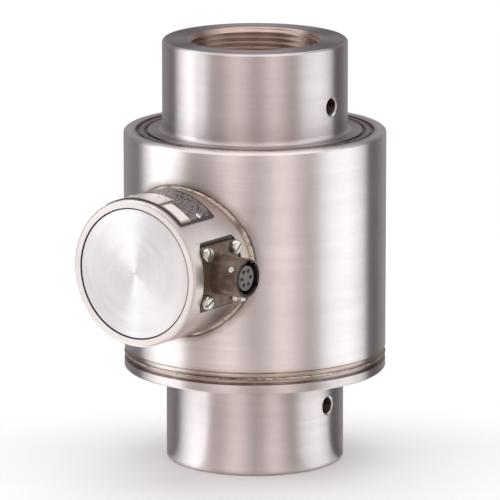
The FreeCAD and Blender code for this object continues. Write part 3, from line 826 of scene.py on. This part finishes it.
def nameplate_piece():
    """The curved plate, cut flat with round corners and pin holes, then wrapped on the housing."""
    arc_low, arc_high = (math.radians(a) * housing_r for a in plate_angles)
    outline = [(x + (arc_low + arc_high) / 2, y + (plate_front + plate_back) / 2) for x, y in
               rounded_rectangle((arc_high - arc_low) / 2, plate_width / 2, plate_corner_r)]
    holes = [circle(plate_pin_shank_r, math.radians(a) * housing_r, plate_pin_y, 24)
             for a in plate_pin_angles]
    obj = flat_plate("nameplate_sheet", [outline] + holes, 0, plate_thickness, plate_edge, np.array)
    work = bmesh.new()
    work.from_mesh(obj.data)
    # Cuts across the sheet let it follow the round wall
    for cut in np.arange(arc_low + plate_segment / 2, arc_high, plate_segment):
        everything = work.verts[:] + work.edges[:] + work.faces[:]
        bmesh.ops.bisect_plane(work, geom=everything, plane_co=(cut * MM, 0, 0), plane_no=(1, 0, 0),
                               dist=1e-7)
    for vertex in work.verts:
        vertex.co = on_housing(vertex.co / MM) * MM
    bmesh.ops.recalc_face_normals(work, faces=work.faces)
    work.to_mesh(obj.data)
    work.free()
    finish_piece(obj, "plate_foil", "nameplate")


def plate_pins_piece():
    """The nameplate's two drive pins with their domed heads."""
    top = housing_r + plate_thickness
    rim = top + plate_pin_rim
    dome = plate_pin_height - plate_pin_rim
    foot = housing_r - plate_pin_length
    outline = [(0, foot)] + stairs(plate_pin_shank_r, foot, top, plate_pin_r, rim)
    outline += [(plate_pin_r * math.cos(a), rim + dome * math.sin(a)) for a in np.radians((25, 50, 75))]
    outline += [(0, top + plate_pin_height)]
    places = [standing(90 - angle, plate_pin_y, to_housing) for angle in plate_pin_angles]
    finish_piece(copies("plate_pins", outline, places, 40), "pin_steel", "nameplate_pins")


class Value:
    """A number that shader nodes work out, so that a formula reads as plain sums."""

    def __init__(self, nodes, socket):
        self.nodes = nodes
        self.socket = socket

    def __add__(self, other):
        return self.nodes.math("ADD", self, other)

    def __sub__(self, other):
        return self.nodes.math("SUBTRACT", self, other)

    def __rsub__(self, other):
        return self.nodes.math("SUBTRACT", other, self)

    def __mul__(self, other):
        return self.nodes.math("MULTIPLY", self, other)

    def hypot(self, other):
        """The long side of a right triangle with these two legs."""
        return self.nodes.math("SQRT", self * self + other * other)

    def above(self, limit):
        """1 above a limit, else 0."""
        return self.nodes.math("GREATER_THAN", self, limit)

    def below(self, limit):
        """1 below a limit, else 0."""
        return self.nodes.math("LESS_THAN", self, limit)

    def between(self, low, high):
        """1 between two limits, else 0."""
        return self.above(low) * self.below(high)

    def over(self, reach):
        """This value as a share of a reach, held between 0 and 1."""
        return self.nodes.math("DIVIDE", self, reach, clamp=True)

    def within(self, low, high, soft):
        """1 between two limits, falling to 0 over a soft edge."""
        return (self - (low - soft)).over(soft) * (high + soft - self).over(soft)

    def blotched(self, scale, least=0.35):
        """A share broken up by soft blotches."""
        cloud = self.nodes.noise(scale, 4.0, 0.6, distortion=0.6)
        return self * self.nodes.ramp(cloud, [(0.3, least), (0.65, 1.0)])


class Nodes:
    """Adds nodes to one node tree."""

    def __init__(self, tree):
        self.tree = tree

    def feed(self, socket, value):
        """Links a value to a socket, or sets the socket to a plain number, vector or colour."""
        if isinstance(value, Value):
            value = value.socket
        if isinstance(value, bpy.types.NodeSocket):
            self.tree.links.new(value, socket)
        else:
            socket.default_value = (*value, 1) if socket.type == "RGBA" else value

    def node(self, kind, inputs=None, **settings):
        """A new node with its settings made and its inputs fed."""
        made = self.tree.nodes.new(kind)
        for key, value in settings.items():
            setattr(made, key, value)
        for key, value in (inputs or {}).items():
            self.feed(made.inputs[key], value)
        return made

    def math(self, operation, a, b=0.0, clamp=False):
        made = self.node("ShaderNodeMath", {0: a, 1: b}, operation=operation, use_clamp=clamp)
        return Value(self, made.outputs[0])

    def split(self, vector):
        """The three parts of a vector or colour."""
        parts = self.node("ShaderNodeSeparateXYZ", {0: vector}).outputs
        return [Value(self, part) for part in parts]

    def combine(self, x, y, z):
        return Value(self, self.node("ShaderNodeCombineXYZ", {0: x, 1: y, 2: z}).outputs[0])

    def ramp(self, value, stops):
        """A value run through (place, level) stops, where a level is a number or a colour."""
        made = self.node("ShaderNodeValToRGB", {0: value})
        elements = made.color_ramp.elements
        while len(elements) < len(stops):
            elements.new(0.5)
        for element, (position, level) in zip(elements, stops):
            element.position = position
            element.color = (*level, 1) if isinstance(level, tuple) else (level, level, level, 1)
        return Value(self, made.outputs["Color"])

    def mix(self, share, a, b):
        """Colour a, with a share of colour b."""
        made = self.node("ShaderNodeMix", {0: share, 6: a, 7: b}, data_type="RGBA")
        return Value(self, made.outputs[2])


class Paint(Nodes):
    """One material round a Principled shader, named after the slot that it fills."""

    def __init__(self, slot, colour, roughness, metallic=0.0):
        self.material = bpy.data.materials.new(f"{slot}_look")
        self.material.use_nodes = True
        super().__init__(self.material.node_tree)
        self.shader = self.tree.nodes["Principled BSDF"]
        self.set("Base Color", colour)
        self.set("Roughness", roughness)
        self.set("Metallic", metallic)
        self.place = self.node("ShaderNodeTexCoord").outputs["Object"]

    def set(self, name, value):
        self.feed(self.shader.inputs[name], value)

    def places(self):
        """The coordinates of the painted point in millimetres."""
        return [part * (1 / MM) for part in self.split(self.place)]

    def noise(self, scale, detail=3.0, rough=0.5, vector=None, distortion=0.0):
        """Noise of so many cells a metre of the object, or over a vector of its own."""
        made = self.node("ShaderNodeTexNoise", {"Vector": vector or self.place, "Scale": scale,
                                                "Detail": detail, "Roughness": rough,
                                                "Distortion": distortion})
        return Value(self, made.outputs["Fac"])

    def finished(self, tone, roughness, height, strength, depth):
        """Feeds the shader its colour, roughness and relief, of a depth in metres."""
        self.set("Base Color", tone)
        self.set("Roughness", roughness)
        bump = self.node("ShaderNodeBump", {"Strength": strength, "Distance": depth, "Height": height})
        self.set("Normal", bump.outputs[0])
        return self.material

    def clouded(self, value, start, low, high):
        """Wanders from one colour to another as a noise value rises from a start to 0.7."""
        return self.mix(self.ramp(value, [(start, 0.0), (0.7, 1.0)]), low, high)


def polar(paint, axis):
    """Distance from the load axis, the housing's (Y) or the receptacle's (X), place along it and angle."""
    x, y, z = paint.places()
    if axis == "Z":
        a, b, along = x, y, z
    elif axis == "Y":
        a, b, along = x, z - housing_z, y
    else:
        a, b, along = y - receptacle_y, z - housing_z, x
    return a.hypot(b), along, paint.math("ARCTAN2", b, a)


def shade(colour, factor):
    """A colour made darker or lighter."""
    return tuple(min(c * factor, 1.0) for c in colour)


def turned_steel(slot, colour, roughness, axis, anisotropy, tints):
    """Turned stainless steel: fine rings of lay, faint smears and a few rubbed marks.

    tints(paint, radius, along) gives pairs of a share and the colour that it brings.
    """
    paint = Paint(slot, colour, roughness, 1.0)
    radius, along, angle = polar(paint, axis)
    fine = paint.noise(1.0, 4.0, 0.7, paint.combine(radius * 2.6, along * 2.6, angle * 0.6))
    broad = paint.noise(1.0, 3.0, 0.6, paint.combine(radius * 0.42, along * 0.42, angle * 0.9))
    smears = paint.noise(26.0, 4.0, 0.62, distortion=0.8)
    marks = paint.noise(140.0, 5.0, 0.7)
    tone = paint.clouded(smears, 0.35, shade(colour, 0.9), shade(colour, 1.05))
    tone = paint.mix(paint.ramp(fine, [(0.3, 0.0), (0.75, 0.25)]), tone, shade(colour, 0.8))
    tone = paint.mix(paint.ramp(broad, [(0.35, 0.0), (0.65, 0.22)]), tone, shade(colour, 0.82))
    for share, stain in tints(paint, radius, along):
        tone = paint.mix(share, tone, stain)
    rough = fine * 0.10 + (roughness - 0.07) + (broad - 0.5) * 0.10 + smears * 0.05 + marks * 0.03
    paint.set("Anisotropic", anisotropy)
    paint.set("Anisotropic Rotation", 0.25)
    paint.set("Tangent", paint.node("ShaderNodeTangent", direction_type="RADIAL", axis=axis).outputs[0])
    return paint.finished(tone, rough, fine * 0.5 + broad, 0.16, 0.00005)


# Stains that come twice, and the seam's dirt with painted shade. In the base groove they start from well
# inside the wall, and on the can's top they part where the tube meets the element. A hole's wall lies
# outside the socket.
GROOVE_STAIN = (0.24, 0.16, 0.125)
TOP_STAIN = (0.16, 0.11, 0.09)
SEAM_DIRT_AND_SHADE = (0.12, 0.10, 0.10)
groove_inside_r = 45.0
top_joint_r = 44.0
socket_stain_r = 26.3
end_face_r = 25.95
hole_inside_r = 27.0


def element_tints(paint, radius, along):
    """Oiled brown sockets, a top end face and spanner hole walls darkened as painted shade, and
    weld-stained grooves.
    """
    y, z = paint.places()[1:]
    bore = radius.below(socket_stain_r)
    # Painted shade: the top end face is darkened
    face = along.within(total_height - 0.02, total_height + 1, 0.05) * radius.above(end_face_r)
    in_groove = radius.within(groove_inside_r, lip_r + 0.1, 0.2)
    groove = along.within(base_groove_low + 0.1, base_groove_low + 0.7, 0.3) * in_groove
    warm = along.within(base_groove_low + 0.1, base_lip_low + 0.5, 0.2) * in_groove
    top = along.within(top_groove_z, can_top - 0.15, 0.1)
    top *= radius.within(top_inner_groove_r - 0.1, top_joint_r, 0.2)
    shoulder = radius.within(upper_boss_r + 1.6, top_joint_r, 1.2)
    shoulder *= along.within(top_groove_z, can_top + 0.1, 0.2)
    # Painted shade on the walls of the spanner holes
    holes = [y.hypot(z - centre_z).below(spanner_r + 0.05)
             for centre_z in (upper_spanner_z, lower_spanner_z)]
    hole = paint.math("MAXIMUM", *holes) * radius.above(hole_inside_r)
    return [(bore, (0.60, 0.45, 0.385)), (face, (0.285, 0.238, 0.255)), (hole, (0.24, 0.185, 0.165)),
            (shoulder.blotched(60.0, 0.65), (0.36, 0.30, 0.30)),
            (warm.blotched(60.0, 0.2), (0.60, 0.46, 0.40)),
            (groove.blotched(90.0, 0.5), GROOVE_STAIN), (top.blotched(90.0), TOP_STAIN)]


def casing_tints(paint, radius, along):
    """Stains in the weld grooves, and a heat tint with painted reflection round the side housing's weld."""
    x, y, z = paint.places()
    away = x.hypot(z - housing_z)
    front = y.below(0.0)
    # Heat tint and painted reflection: the can darkens round the side housing's weld
    halo = front * away.within(housing_r - 1, housing_r + 1.4, 2.6)
    lip = front * away.within(housing_r + 0.8, housing_r + 1.3, 0.35)
    groove = along.within(base_groove_high - 0.7, base_groove_high - 0.1, 0.3)
    groove *= radius.within(groove_inside_r, lip_r + 0.1, 0.2)
    warm = along.within(base_lip_high, base_groove_high + 0.2, 1.2)
    top = along.within(top_groove_z, can_top - 0.15, 0.1)
    top *= radius.within(top_joint_r, top_outer_groove_r + 0.1, 0.2)
    shoulder = along.within(can_top - 0.1, can_top + 1, 0.2)
    shoulder *= radius.within(top_joint_r, top_outer_groove_r + 0.3, 1.6)
    return [(shoulder.blotched(60.0, 0.5), (0.46, 0.37, 0.36)),
            (warm.blotched(45.0, 0.0), (0.64, 0.50, 0.43)),
            (halo.blotched(110.0), (0.40, 0.32, 0.28)), (lip.blotched(200.0, 0.3), (0.15, 0.11, 0.10)),
            (groove.blotched(90.0, 0.5), GROOVE_STAIN), (top.blotched(90.0), TOP_STAIN)]


def housing_tints(paint, radius, along):
    """Heat tints near the can, painted shade towards the can and lower down, the seat under the flange
    painted dark as shade, and dirt with painted shade in the seam.
    """
    x, y, z = paint.places()
    gap = y * -1 - paint.math("SQRT", can_r ** 2 - x * x)
    lowness = (housing_z + 6 - z).over(20)
    # Painted shade: the housing darkens towards the can, and more so lower down
    near_can_shade = gap.within(-1, 9.0, 10.0) * radius.above(24) * (lowness * 0.5 + 0.5)
    # Painted shade: the underside near the can is darkened further
    underside_shade = lowness * lowness * gap.within(-1, 15.0, 9.0) * radius.above(27.4)
    straw = gap.within(-1, 2.6, 3.2)
    brown = gap.within(-1, 1.3, 0.9)
    # Painted shade: the pocket's seat beyond the flange is painted near black
    seat = x.within(seat_x - 0.01, seat_x + 0.02, 0.03) * radius.above(seat_x * 0.98)
    seat *= y.within(receptacle_y - pocket_half_width, receptacle_y + pocket_half_width, 0.1)
    # Dirt and painted shade in the seam between the cover and the housing
    seam = along.within(-housing_front - 0.05, -cover_back, 0.1)
    seam *= radius.within(cover_r - 1, cover_seat_r + 0.12, 0.1)
    return [(near_can_shade.blotched(60.0, 0.7), (0.32, 0.26, 0.235)),
            (underside_shade.blotched(40.0), (0.19, 0.155, 0.145)),
            (straw.blotched(70.0, 0.3), (0.58, 0.48, 0.40)),
            (brown.blotched(150.0, 0.4), (0.30, 0.23, 0.17)), (seat, (0.10, 0.075, 0.065)),
            (seam, SEAM_DIRT_AND_SHADE)]


def cover_tints(paint, radius, along):
    """Dirt and painted shade in the seam round the cover."""
    return [(radius.within(cover_r - 0.2, cover_r + 1, 0.12), SEAM_DIRT_AND_SHADE)]


def weld_steel(slot):
    """Weld beads with straw, brown and grey tints, darker on the can's top."""
    paint = Paint(slot, (0.5, 0.42, 0.36), 0.34, 1.0)
    cloud = paint.noise(75.0, 5.0, 0.7, distortion=0.8)
    tint = paint.ramp(cloud, [(0.32, (0.13, 0.095, 0.08)), (0.43, (0.30, 0.235, 0.195)),
                              (0.52, (0.58, 0.50, 0.43)), (0.60, (0.36, 0.30, 0.27)),
                              (0.70, (0.19, 0.15, 0.14))])
    on_top = paint.places()[2].within(can_top - 2, can_top + 2, 0.2)
    tint = paint.mix(on_top * 0.6, tint, (0.15, 0.12, 0.115))
    grain = paint.noise(1500.0, 3.0, 0.6)
    return paint.finished(tint, grain * 0.14 + 0.27, grain, 0.15, 0.00004)


def olive_shell(slot):
    """Dark olive-brown plated shell, rubbed lighter in places, with painted shade on its mouth's rim and
    inside it.
    """
    dark = (0.100, 0.066, 0.049)
    paint = Paint(slot, dark, 0.42, 0.55)
    grain = paint.noise(2600.0, 3.0, 0.6)
    tone = paint.clouded(paint.noise(300.0, 4.0, 0.6), 0.35, dark, (0.205, 0.143, 0.108))
    radius, along = polar(paint, "X")[:2]
    # Painted shade on the mouth's rim and inside the barrel
    rim = along.within(shell_mouth - mouth_edge, shell_mouth + 1, mouth_edge)
    inside = along.within(gasket_front + 3, shell_mouth + 1, 0.1)
    inside *= radius.below(shell_bore_r + keyway_depth + 0.02)
    tone = paint.mix(paint.math("MAXIMUM", rim, inside), tone, (0.034, 0.023, 0.021))
    return paint.finished(tone, grain * 0.2 + 0.34, grain, 0.2, 0.00005)


def small_steel(slot, colour, roughness):
    """Bright metal of screws and pins, with fine scratches."""
    paint = Paint(slot, colour, roughness, 1.0)
    stretched = paint.node("ShaderNodeMapping", {"Rotation": (0.3, 0.5, 0.8), "Scale": (6.0, 1.0, 1.0),
                                                 "Vector": paint.place})
    scratch = paint.noise(900.0, 4.0, 0.7, stretched.outputs[0])
    tone = paint.clouded(paint.noise(350.0, 3.0, 0.6), 0.3, shade(colour, 0.78), colour)
    return paint.finished(tone, scratch * 0.2 + (roughness - 0.08), scratch, 0.12, 0.00003)


def plain_paint(slot, low, high, roughness, scale):
    """A finish that wanders between two tones, with a fine grain."""
    paint = Paint(slot, low, roughness)
    fine = paint.noise(1800.0, 3.0, 0.6)
    tone = paint.clouded(paint.noise(scale, 4.0, 0.6), 0.3, low, high)
    return paint.finished(tone, fine * 0.16 + (roughness - 0.08), fine, 0.3, 0.00005)


def plate_print(slot):
    """The nameplate: dark field with rows of short bars, a bare silver field and a white block."""
    paint = Paint(slot, (0.12, 0.1, 0.11), 0.4)
    x, y, z = paint.places()
    turn = paint.math("ARCTAN2", x, z - housing_z) * (180 / math.pi)
    back = y * -1

    def field(left, right, high, low):
        """1 between two angles and two distances behind the plate's front edge, else 0."""
        return turn.between(left, right) * back.between(plate_front - low, plate_front - high)

    fine = paint.noise(1500.0, 3.0, 0.6)
    cloud = paint.noise(150.0, 4.0, 0.6)
    dark = paint.mix(cloud, (0.030, 0.022, 0.025), (0.075, 0.058, 0.064))
    # Rows of short marks stand in for print
    line = back * (1 / 1.25)
    cell = paint.noise(1.0, 1.0, 0.5, paint.combine(turn * 0.8, paint.math("FLOOR", line) * 7.3, 0.0))
    bars = paint.math("FRACT", line).between(0.18, 0.78) * cell.above(0.47)
    bars *= field(plate_angles[0] + 3, plate_angles[1] - 3, 0.9, plate_width - 0.8)
    tone = paint.mix(bars * 0.6, dark, (0.52, 0.45, 0.47))
    silver = field(-29.5, 17.5, 0.9, 10.9)
    tone = paint.mix(silver, tone, (0.82, 0.75, 0.73))
    spots = silver * paint.noise(700.0, 3.0, 0.7).above(0.64)
    tone = paint.mix(spots * 0.7, tone, (0.22, 0.18, 0.18))
    tone = paint.mix(field(20.5, 42.6, 1.3, 7.6), tone, (0.42, 0.33, 0.26))
    white = field(21.3, 40.6, 1.9, 7.1)
    tone = paint.mix(white, tone, (0.80, 0.76, 0.75))
    paint.set("Specular IOR Level", 0.3)
    paint.set("Metallic", silver * 0.85)
    return paint.finished(tone, fine * 0.12 + 0.34, bars * 0.5 + white + fine * 0.3, 0.35, 0.00006)


# Colour, roughness, turning axis, anisotropy and stains
turned_looks = {
    "element_steel": ((0.70, 0.61, 0.60), 0.34, "Z", 1.0, element_tints),
    "casing_steel": ((0.84, 0.75, 0.735), 0.34, "Z", 1.0, casing_tints),
    "housing_steel": ((0.73, 0.645, 0.62), 0.34, "Y", 0.7, housing_tints),
    # The cover is the same turned steel made lighter, a painted highlight
    "cover_steel": ((0.85, 0.79, 0.79), 0.36, "Y", 1.0, cover_tints)}
# Colour and roughness
small_looks = {
    "pin_steel": ((0.75, 0.72, 0.70), 0.22),
    "contact_gold": ((0.80, 0.58, 0.28), 0.25),
    "screw_steel": ((0.70, 0.655, 0.60), 0.27),
    "spacer_brass": ((0.78, 0.57, 0.27), 0.3),
    "turret_tin": ((0.72, 0.70, 0.68), 0.3)}
# Two colours, roughness and how finely they alternate
plain_looks = {
    "seal_rubber": ((0.012, 0.012, 0.012), (0.03, 0.03, 0.03), 0.6, 400.0),
    "gasket_rubber": ((0.02, 0.017, 0.015), (0.045, 0.038, 0.035), 0.6, 400.0),
    "insert_rubber": ((0.085, 0.073, 0.073), (0.19, 0.163, 0.16), 0.6, 900.0),
    "gauge_film": ((0.42, 0.20, 0.04), (0.55, 0.28, 0.07), 0.4, 500.0),
    "strip_laminate": ((0.30, 0.26, 0.12), (0.38, 0.33, 0.17), 0.5, 500.0),
    "wire_jacket": ((0.62, 0.61, 0.57), (0.74, 0.73, 0.69), 0.45, 600.0),
    "lead_jacket": ((0.10, 0.10, 0.10), (0.16, 0.16, 0.16), 0.5, 600.0),
    "bushing_plastic": ((0.62, 0.58, 0.48), (0.72, 0.68, 0.58), 0.5, 500.0),
    "board_laminate": ((0.03, 0.15, 0.06), (0.05, 0.21, 0.09), 0.4, 300.0),
    "resistor_body": ((0.30, 0.18, 0.10), (0.42, 0.27, 0.16), 0.45, 500.0)}
materials = {"weld_steel": weld_steel("weld_steel"), "shell_olive": olive_shell("shell_olive"),
             "plate_foil": plate_print("plate_foil")}
for make, looks in ((turned_steel, turned_looks), (small_steel, small_looks), (plain_paint, plain_looks)):
    for slot, look in looks.items():
        materials[slot] = make(slot, *look)

spring_element_piece()
casing_piece()
ring_bead("base_bead", "casing_base_weld", (lip_r, base_lip_low), (lip_r, base_lip_high), (1, 0))
ring_bead("top_bead", "casing_top_weld", (top_outer_lip_r, top_lip_z), (top_inner_lip_r, top_lip_z), (0, 1))
housing_bead_piece()
housing_piece()
cover_piece()
receptacle_piece()
gasket_piece()
insert_piece()
contacts_piece()
bayonet_piece()
screws_piece()
nameplate_piece()
plate_pins_piece()

# Inner pieces keep their solids and take the same kind of finish
inner_slots = {"cover_seal": "seal_rubber", "strain_gauges": "gauge_film",
               "terminal_strips": "strip_laminate", "bridge_wires": "wire_jacket",
               "gauge_lead": "lead_jacket", "port_bushing": "bushing_plastic",
               "board_standoffs": "spacer_brass", "terminal_board": "board_laminate",
               "board_screws": "screw_steel", "trim_resistors": "resistor_body",
               "solder_turrets": "turret_tin", "hookup_wires": "wire_jacket"}
for node, slot in inner_slots.items():
    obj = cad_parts[node]
    obj.data.materials.clear()
    obj.data.materials.append(materials[slot])

# From here on lengths are in metres, apart from those that a Skin or a Paint works with.
# The floor fades to plain white for the camera, from near the part outwards.
floor_half = 6.0
floor_colour = (0.93, 0.93, 0.93)
fade_start = 120
fade_reach = 450
corners = [(x * floor_half, y * floor_half, 0) for x, y in ((-1, -1), (1, -1), (1, 1), (-1, 1))]
floor_mesh = bpy.data.meshes.new("floor")
floor_mesh.from_pydata(corners, [], [(0, 1, 2, 3)])
floor = new_object("floor", floor_mesh)
floor_paint = Paint("floor", floor_colour, 0.9)
floor_x, floor_y = floor_paint.places()[:2]
seen_far = (floor_x.hypot(floor_y) - fade_start).over(fade_reach)
seen_far *= floor_paint.node("ShaderNodeLightPath").outputs["Is Camera Ray"]
floor_paint.set("Specular IOR Level", 0.1)
floor_paint.set("Base Color", floor_paint.mix(seen_far, floor_colour, (0.0, 0.0, 0.0)))
floor_paint.set("Emission Color", (1, 1, 1))
floor_paint.set("Emission Strength", seen_far)
floor_mesh.materials.append(floor_paint.material)

# Camera, as the photograph was taken
camera_azimuth = 0.6103
camera_distance = 2.1217
camera_height = 0.5382
camera_pitch = 0.2119
camera_yaw = 0.0009
camera_lens = 402.55


def around(bearing, distance, height):
    """A point at a bearing in radians, counted round the load axis from the camera's side."""
    turn = camera_azimuth + bearing
    return distance * math.sin(turn), -distance * math.cos(turn), height


camera_data = bpy.data.cameras.new("camera")
camera_data.sensor_width = 36.0
camera_data.lens = camera_lens
camera = new_object("camera", camera_data)
camera.location = around(0, camera_distance, camera_height)
camera.rotation_euler = (math.pi / 2 - camera_pitch, 0, camera_azimuth + camera_yaw)
bpy.context.scene.camera = camera


def soft_box(name, width, length, energy, location, tilt, bearing):
    """A rectangular lamp that the camera doesn't see."""
    light = bpy.data.lights.new(name, "AREA")
    light.shape = "RECTANGLE"
    light.size = width
    light.size_y = length
    light.energy = energy
    obj = new_object(name, light)
    obj.location = location
    obj.rotation_euler = (tilt, 0, camera_azimuth + bearing)
    obj.visible_camera = False
    return obj


# An upright panel at either side lights the floor and the dull parts, and gloss doesn't see it.
# A level of 1 makes the panel's own face about as bright as white.
panel_width = 1.0
panel_height = 1.3
panel_distance = 1.0
for name, bearing, level in (("left_panel", -math.pi / 2, 1.4), ("right_panel", math.pi / 2, 1.2)):
    energy = level * math.pi * panel_width * panel_height
    side_panel = soft_box(name, panel_width, panel_height, energy,
                          around(bearing, panel_distance, panel_height / 2), math.pi / 2, bearing)
    side_panel.visible_glossy = False

# A soft box overhead lights the floor behind the part
soft_box("overhead_panel", 1.6, 2.2, 12, around(0, -0.6, 1.6), 0, 0)

# The studio that the polished walls mirror: white panels, a warm grey room and dark gaps between.
# Each stop is a bearing in degrees from the camera's side, its brightness and its tint.
WARM = (1.04, 0.985, 0.975)
COOL = (0.94, 1.0, 1.03)
GREY = (1.0, 0.98, 1.02)
tent_stops = (
    (-180, 0.38, GREY), (-147, 0.34, GREY), (-128, 0.24, GREY), (-118, 0.27, GREY), (-113, 0.78, COOL),
    (-100, 1.35, COOL), (-80, 1.85, COOL), (-67, 1.90, COOL), (-63, 0.98, WARM), (-58, 0.76, WARM),
    (-50, 0.76, WARM), (-40, 0.90, WARM), (-30, 1.17, WARM), (-20, 1.15, WARM), (-10, 0.86, WARM),
    (0, 0.60, WARM), (10, 0.72, WARM), (20, 1.04, WARM), (30, 1.06, WARM), (40, 0.74, WARM),
    (48, 0.54, WARM), (55, 0.58, WARM), (61, 0.98, COOL), (70, 1.34, COOL), (90, 1.60, COOL),
    (107, 1.25, COOL), (112, 0.95, COOL), (116, 0.20, GREY), (130, 0.16, GREY), (142, 0.26, GREY),
    (152, 0.38, GREY), (180, 0.38, GREY))
# Higher up the left panel is stronger and ends earlier, which turns the cover's bright fan.
# These stops are gains, reached between the two heights.
upper_stops = ((-180, 1.0), (-122, 1.0), (-110, 1.9), (-86, 1.9), (-79, 0.5), (-50, 0.5), (-35, 0.72),
               (-20, 0.9), (0, 1.0), (180, 1.0))
upper_low = 70
upper_high = 150
tent_outline = ((35.2, 1), (400, 1), (470, 20), (500, 90), (500, 1000))
tent_shift = 41
TENT_SCALE = 2.0


def light_tent():
    """A bowl of reflectors round the part, which only gloss sees."""
    skin = Skin()
    skin.grid(turned(tent_outline, 180))
    obj = skin.object("light_tent")
    paint = Paint("light_tent", (0, 0, 0), 1.0)
    paint.set("Specular IOR Level", 0.0)
    x, y, z = paint.places()
    bearing = paint.math("ARCTAN2", x, y * -1) - camera_azimuth
    share = paint.math("FRACT", bearing * (0.5 / math.pi) + 0.5)
    # A ray from a round wall meets the bowl a little short of its own bearing, more so close by
    bend = paint.math("SINE", (share - 0.5) * math.pi) * paint.math("DIVIDE", tent_shift, x.hypot(y))
    share += bend * (0.5 / math.pi)
    # Both ramps hold their levels as shares of TENT_SCALE
    tone = paint.ramp(share, [((turn + 180) / 360, tuple(level / TENT_SCALE * c for c in tint))
                              for turn, level, tint in tent_stops])
    gain = paint.ramp(share, [((turn + 180) / 360, level / TENT_SCALE) for turn, level in upper_stops])
    up = (z - upper_low).over(upper_high - upper_low)
    gain = up * (gain * TENT_SCALE - 1) + 1
    paint.set("Emission Color", paint.combine(*(part * gain for part in paint.split(tone))))
    paint.set("Emission Strength", TENT_SCALE)
    obj.data.materials.append(paint.material)
    obj.visible_camera = False
    obj.visible_diffuse = False
    obj.visible_shadow = False


light_tent()

# The camera, gloss and glass see a white background, and the part is lit by a plain grey
world = bpy.data.worlds.new("world")
world.use_nodes = True
sky = Nodes(world.node_tree)
grey_sky = sky.tree.nodes["Background"]
sky.feed(grey_sky.inputs["Color"], (0.80, 0.78, 0.78))
sky.feed(grey_sky.inputs["Strength"], 0.8)
white_sky = sky.node("ShaderNodeBackground", {"Color": (1, 1, 1)})
rays = sky.node("ShaderNodeLightPath").outputs
seen = sky.math("MAXIMUM", rays["Is Camera Ray"], rays["Is Glossy Ray"])
seen = sky.math("MAXIMUM", seen, rays["Is Transmission Ray"])
mixed = sky.node("ShaderNodeMixShader", {0: seen, 1: grey_sky.outputs[0], 2: white_sky.outputs[0]})
sky.feed(sky.tree.nodes["World Output"].inputs["Surface"], mixed.outputs[0])
bpy.context.scene.world = world
bpy.context.scene.view_settings.view_transform = "Standard"
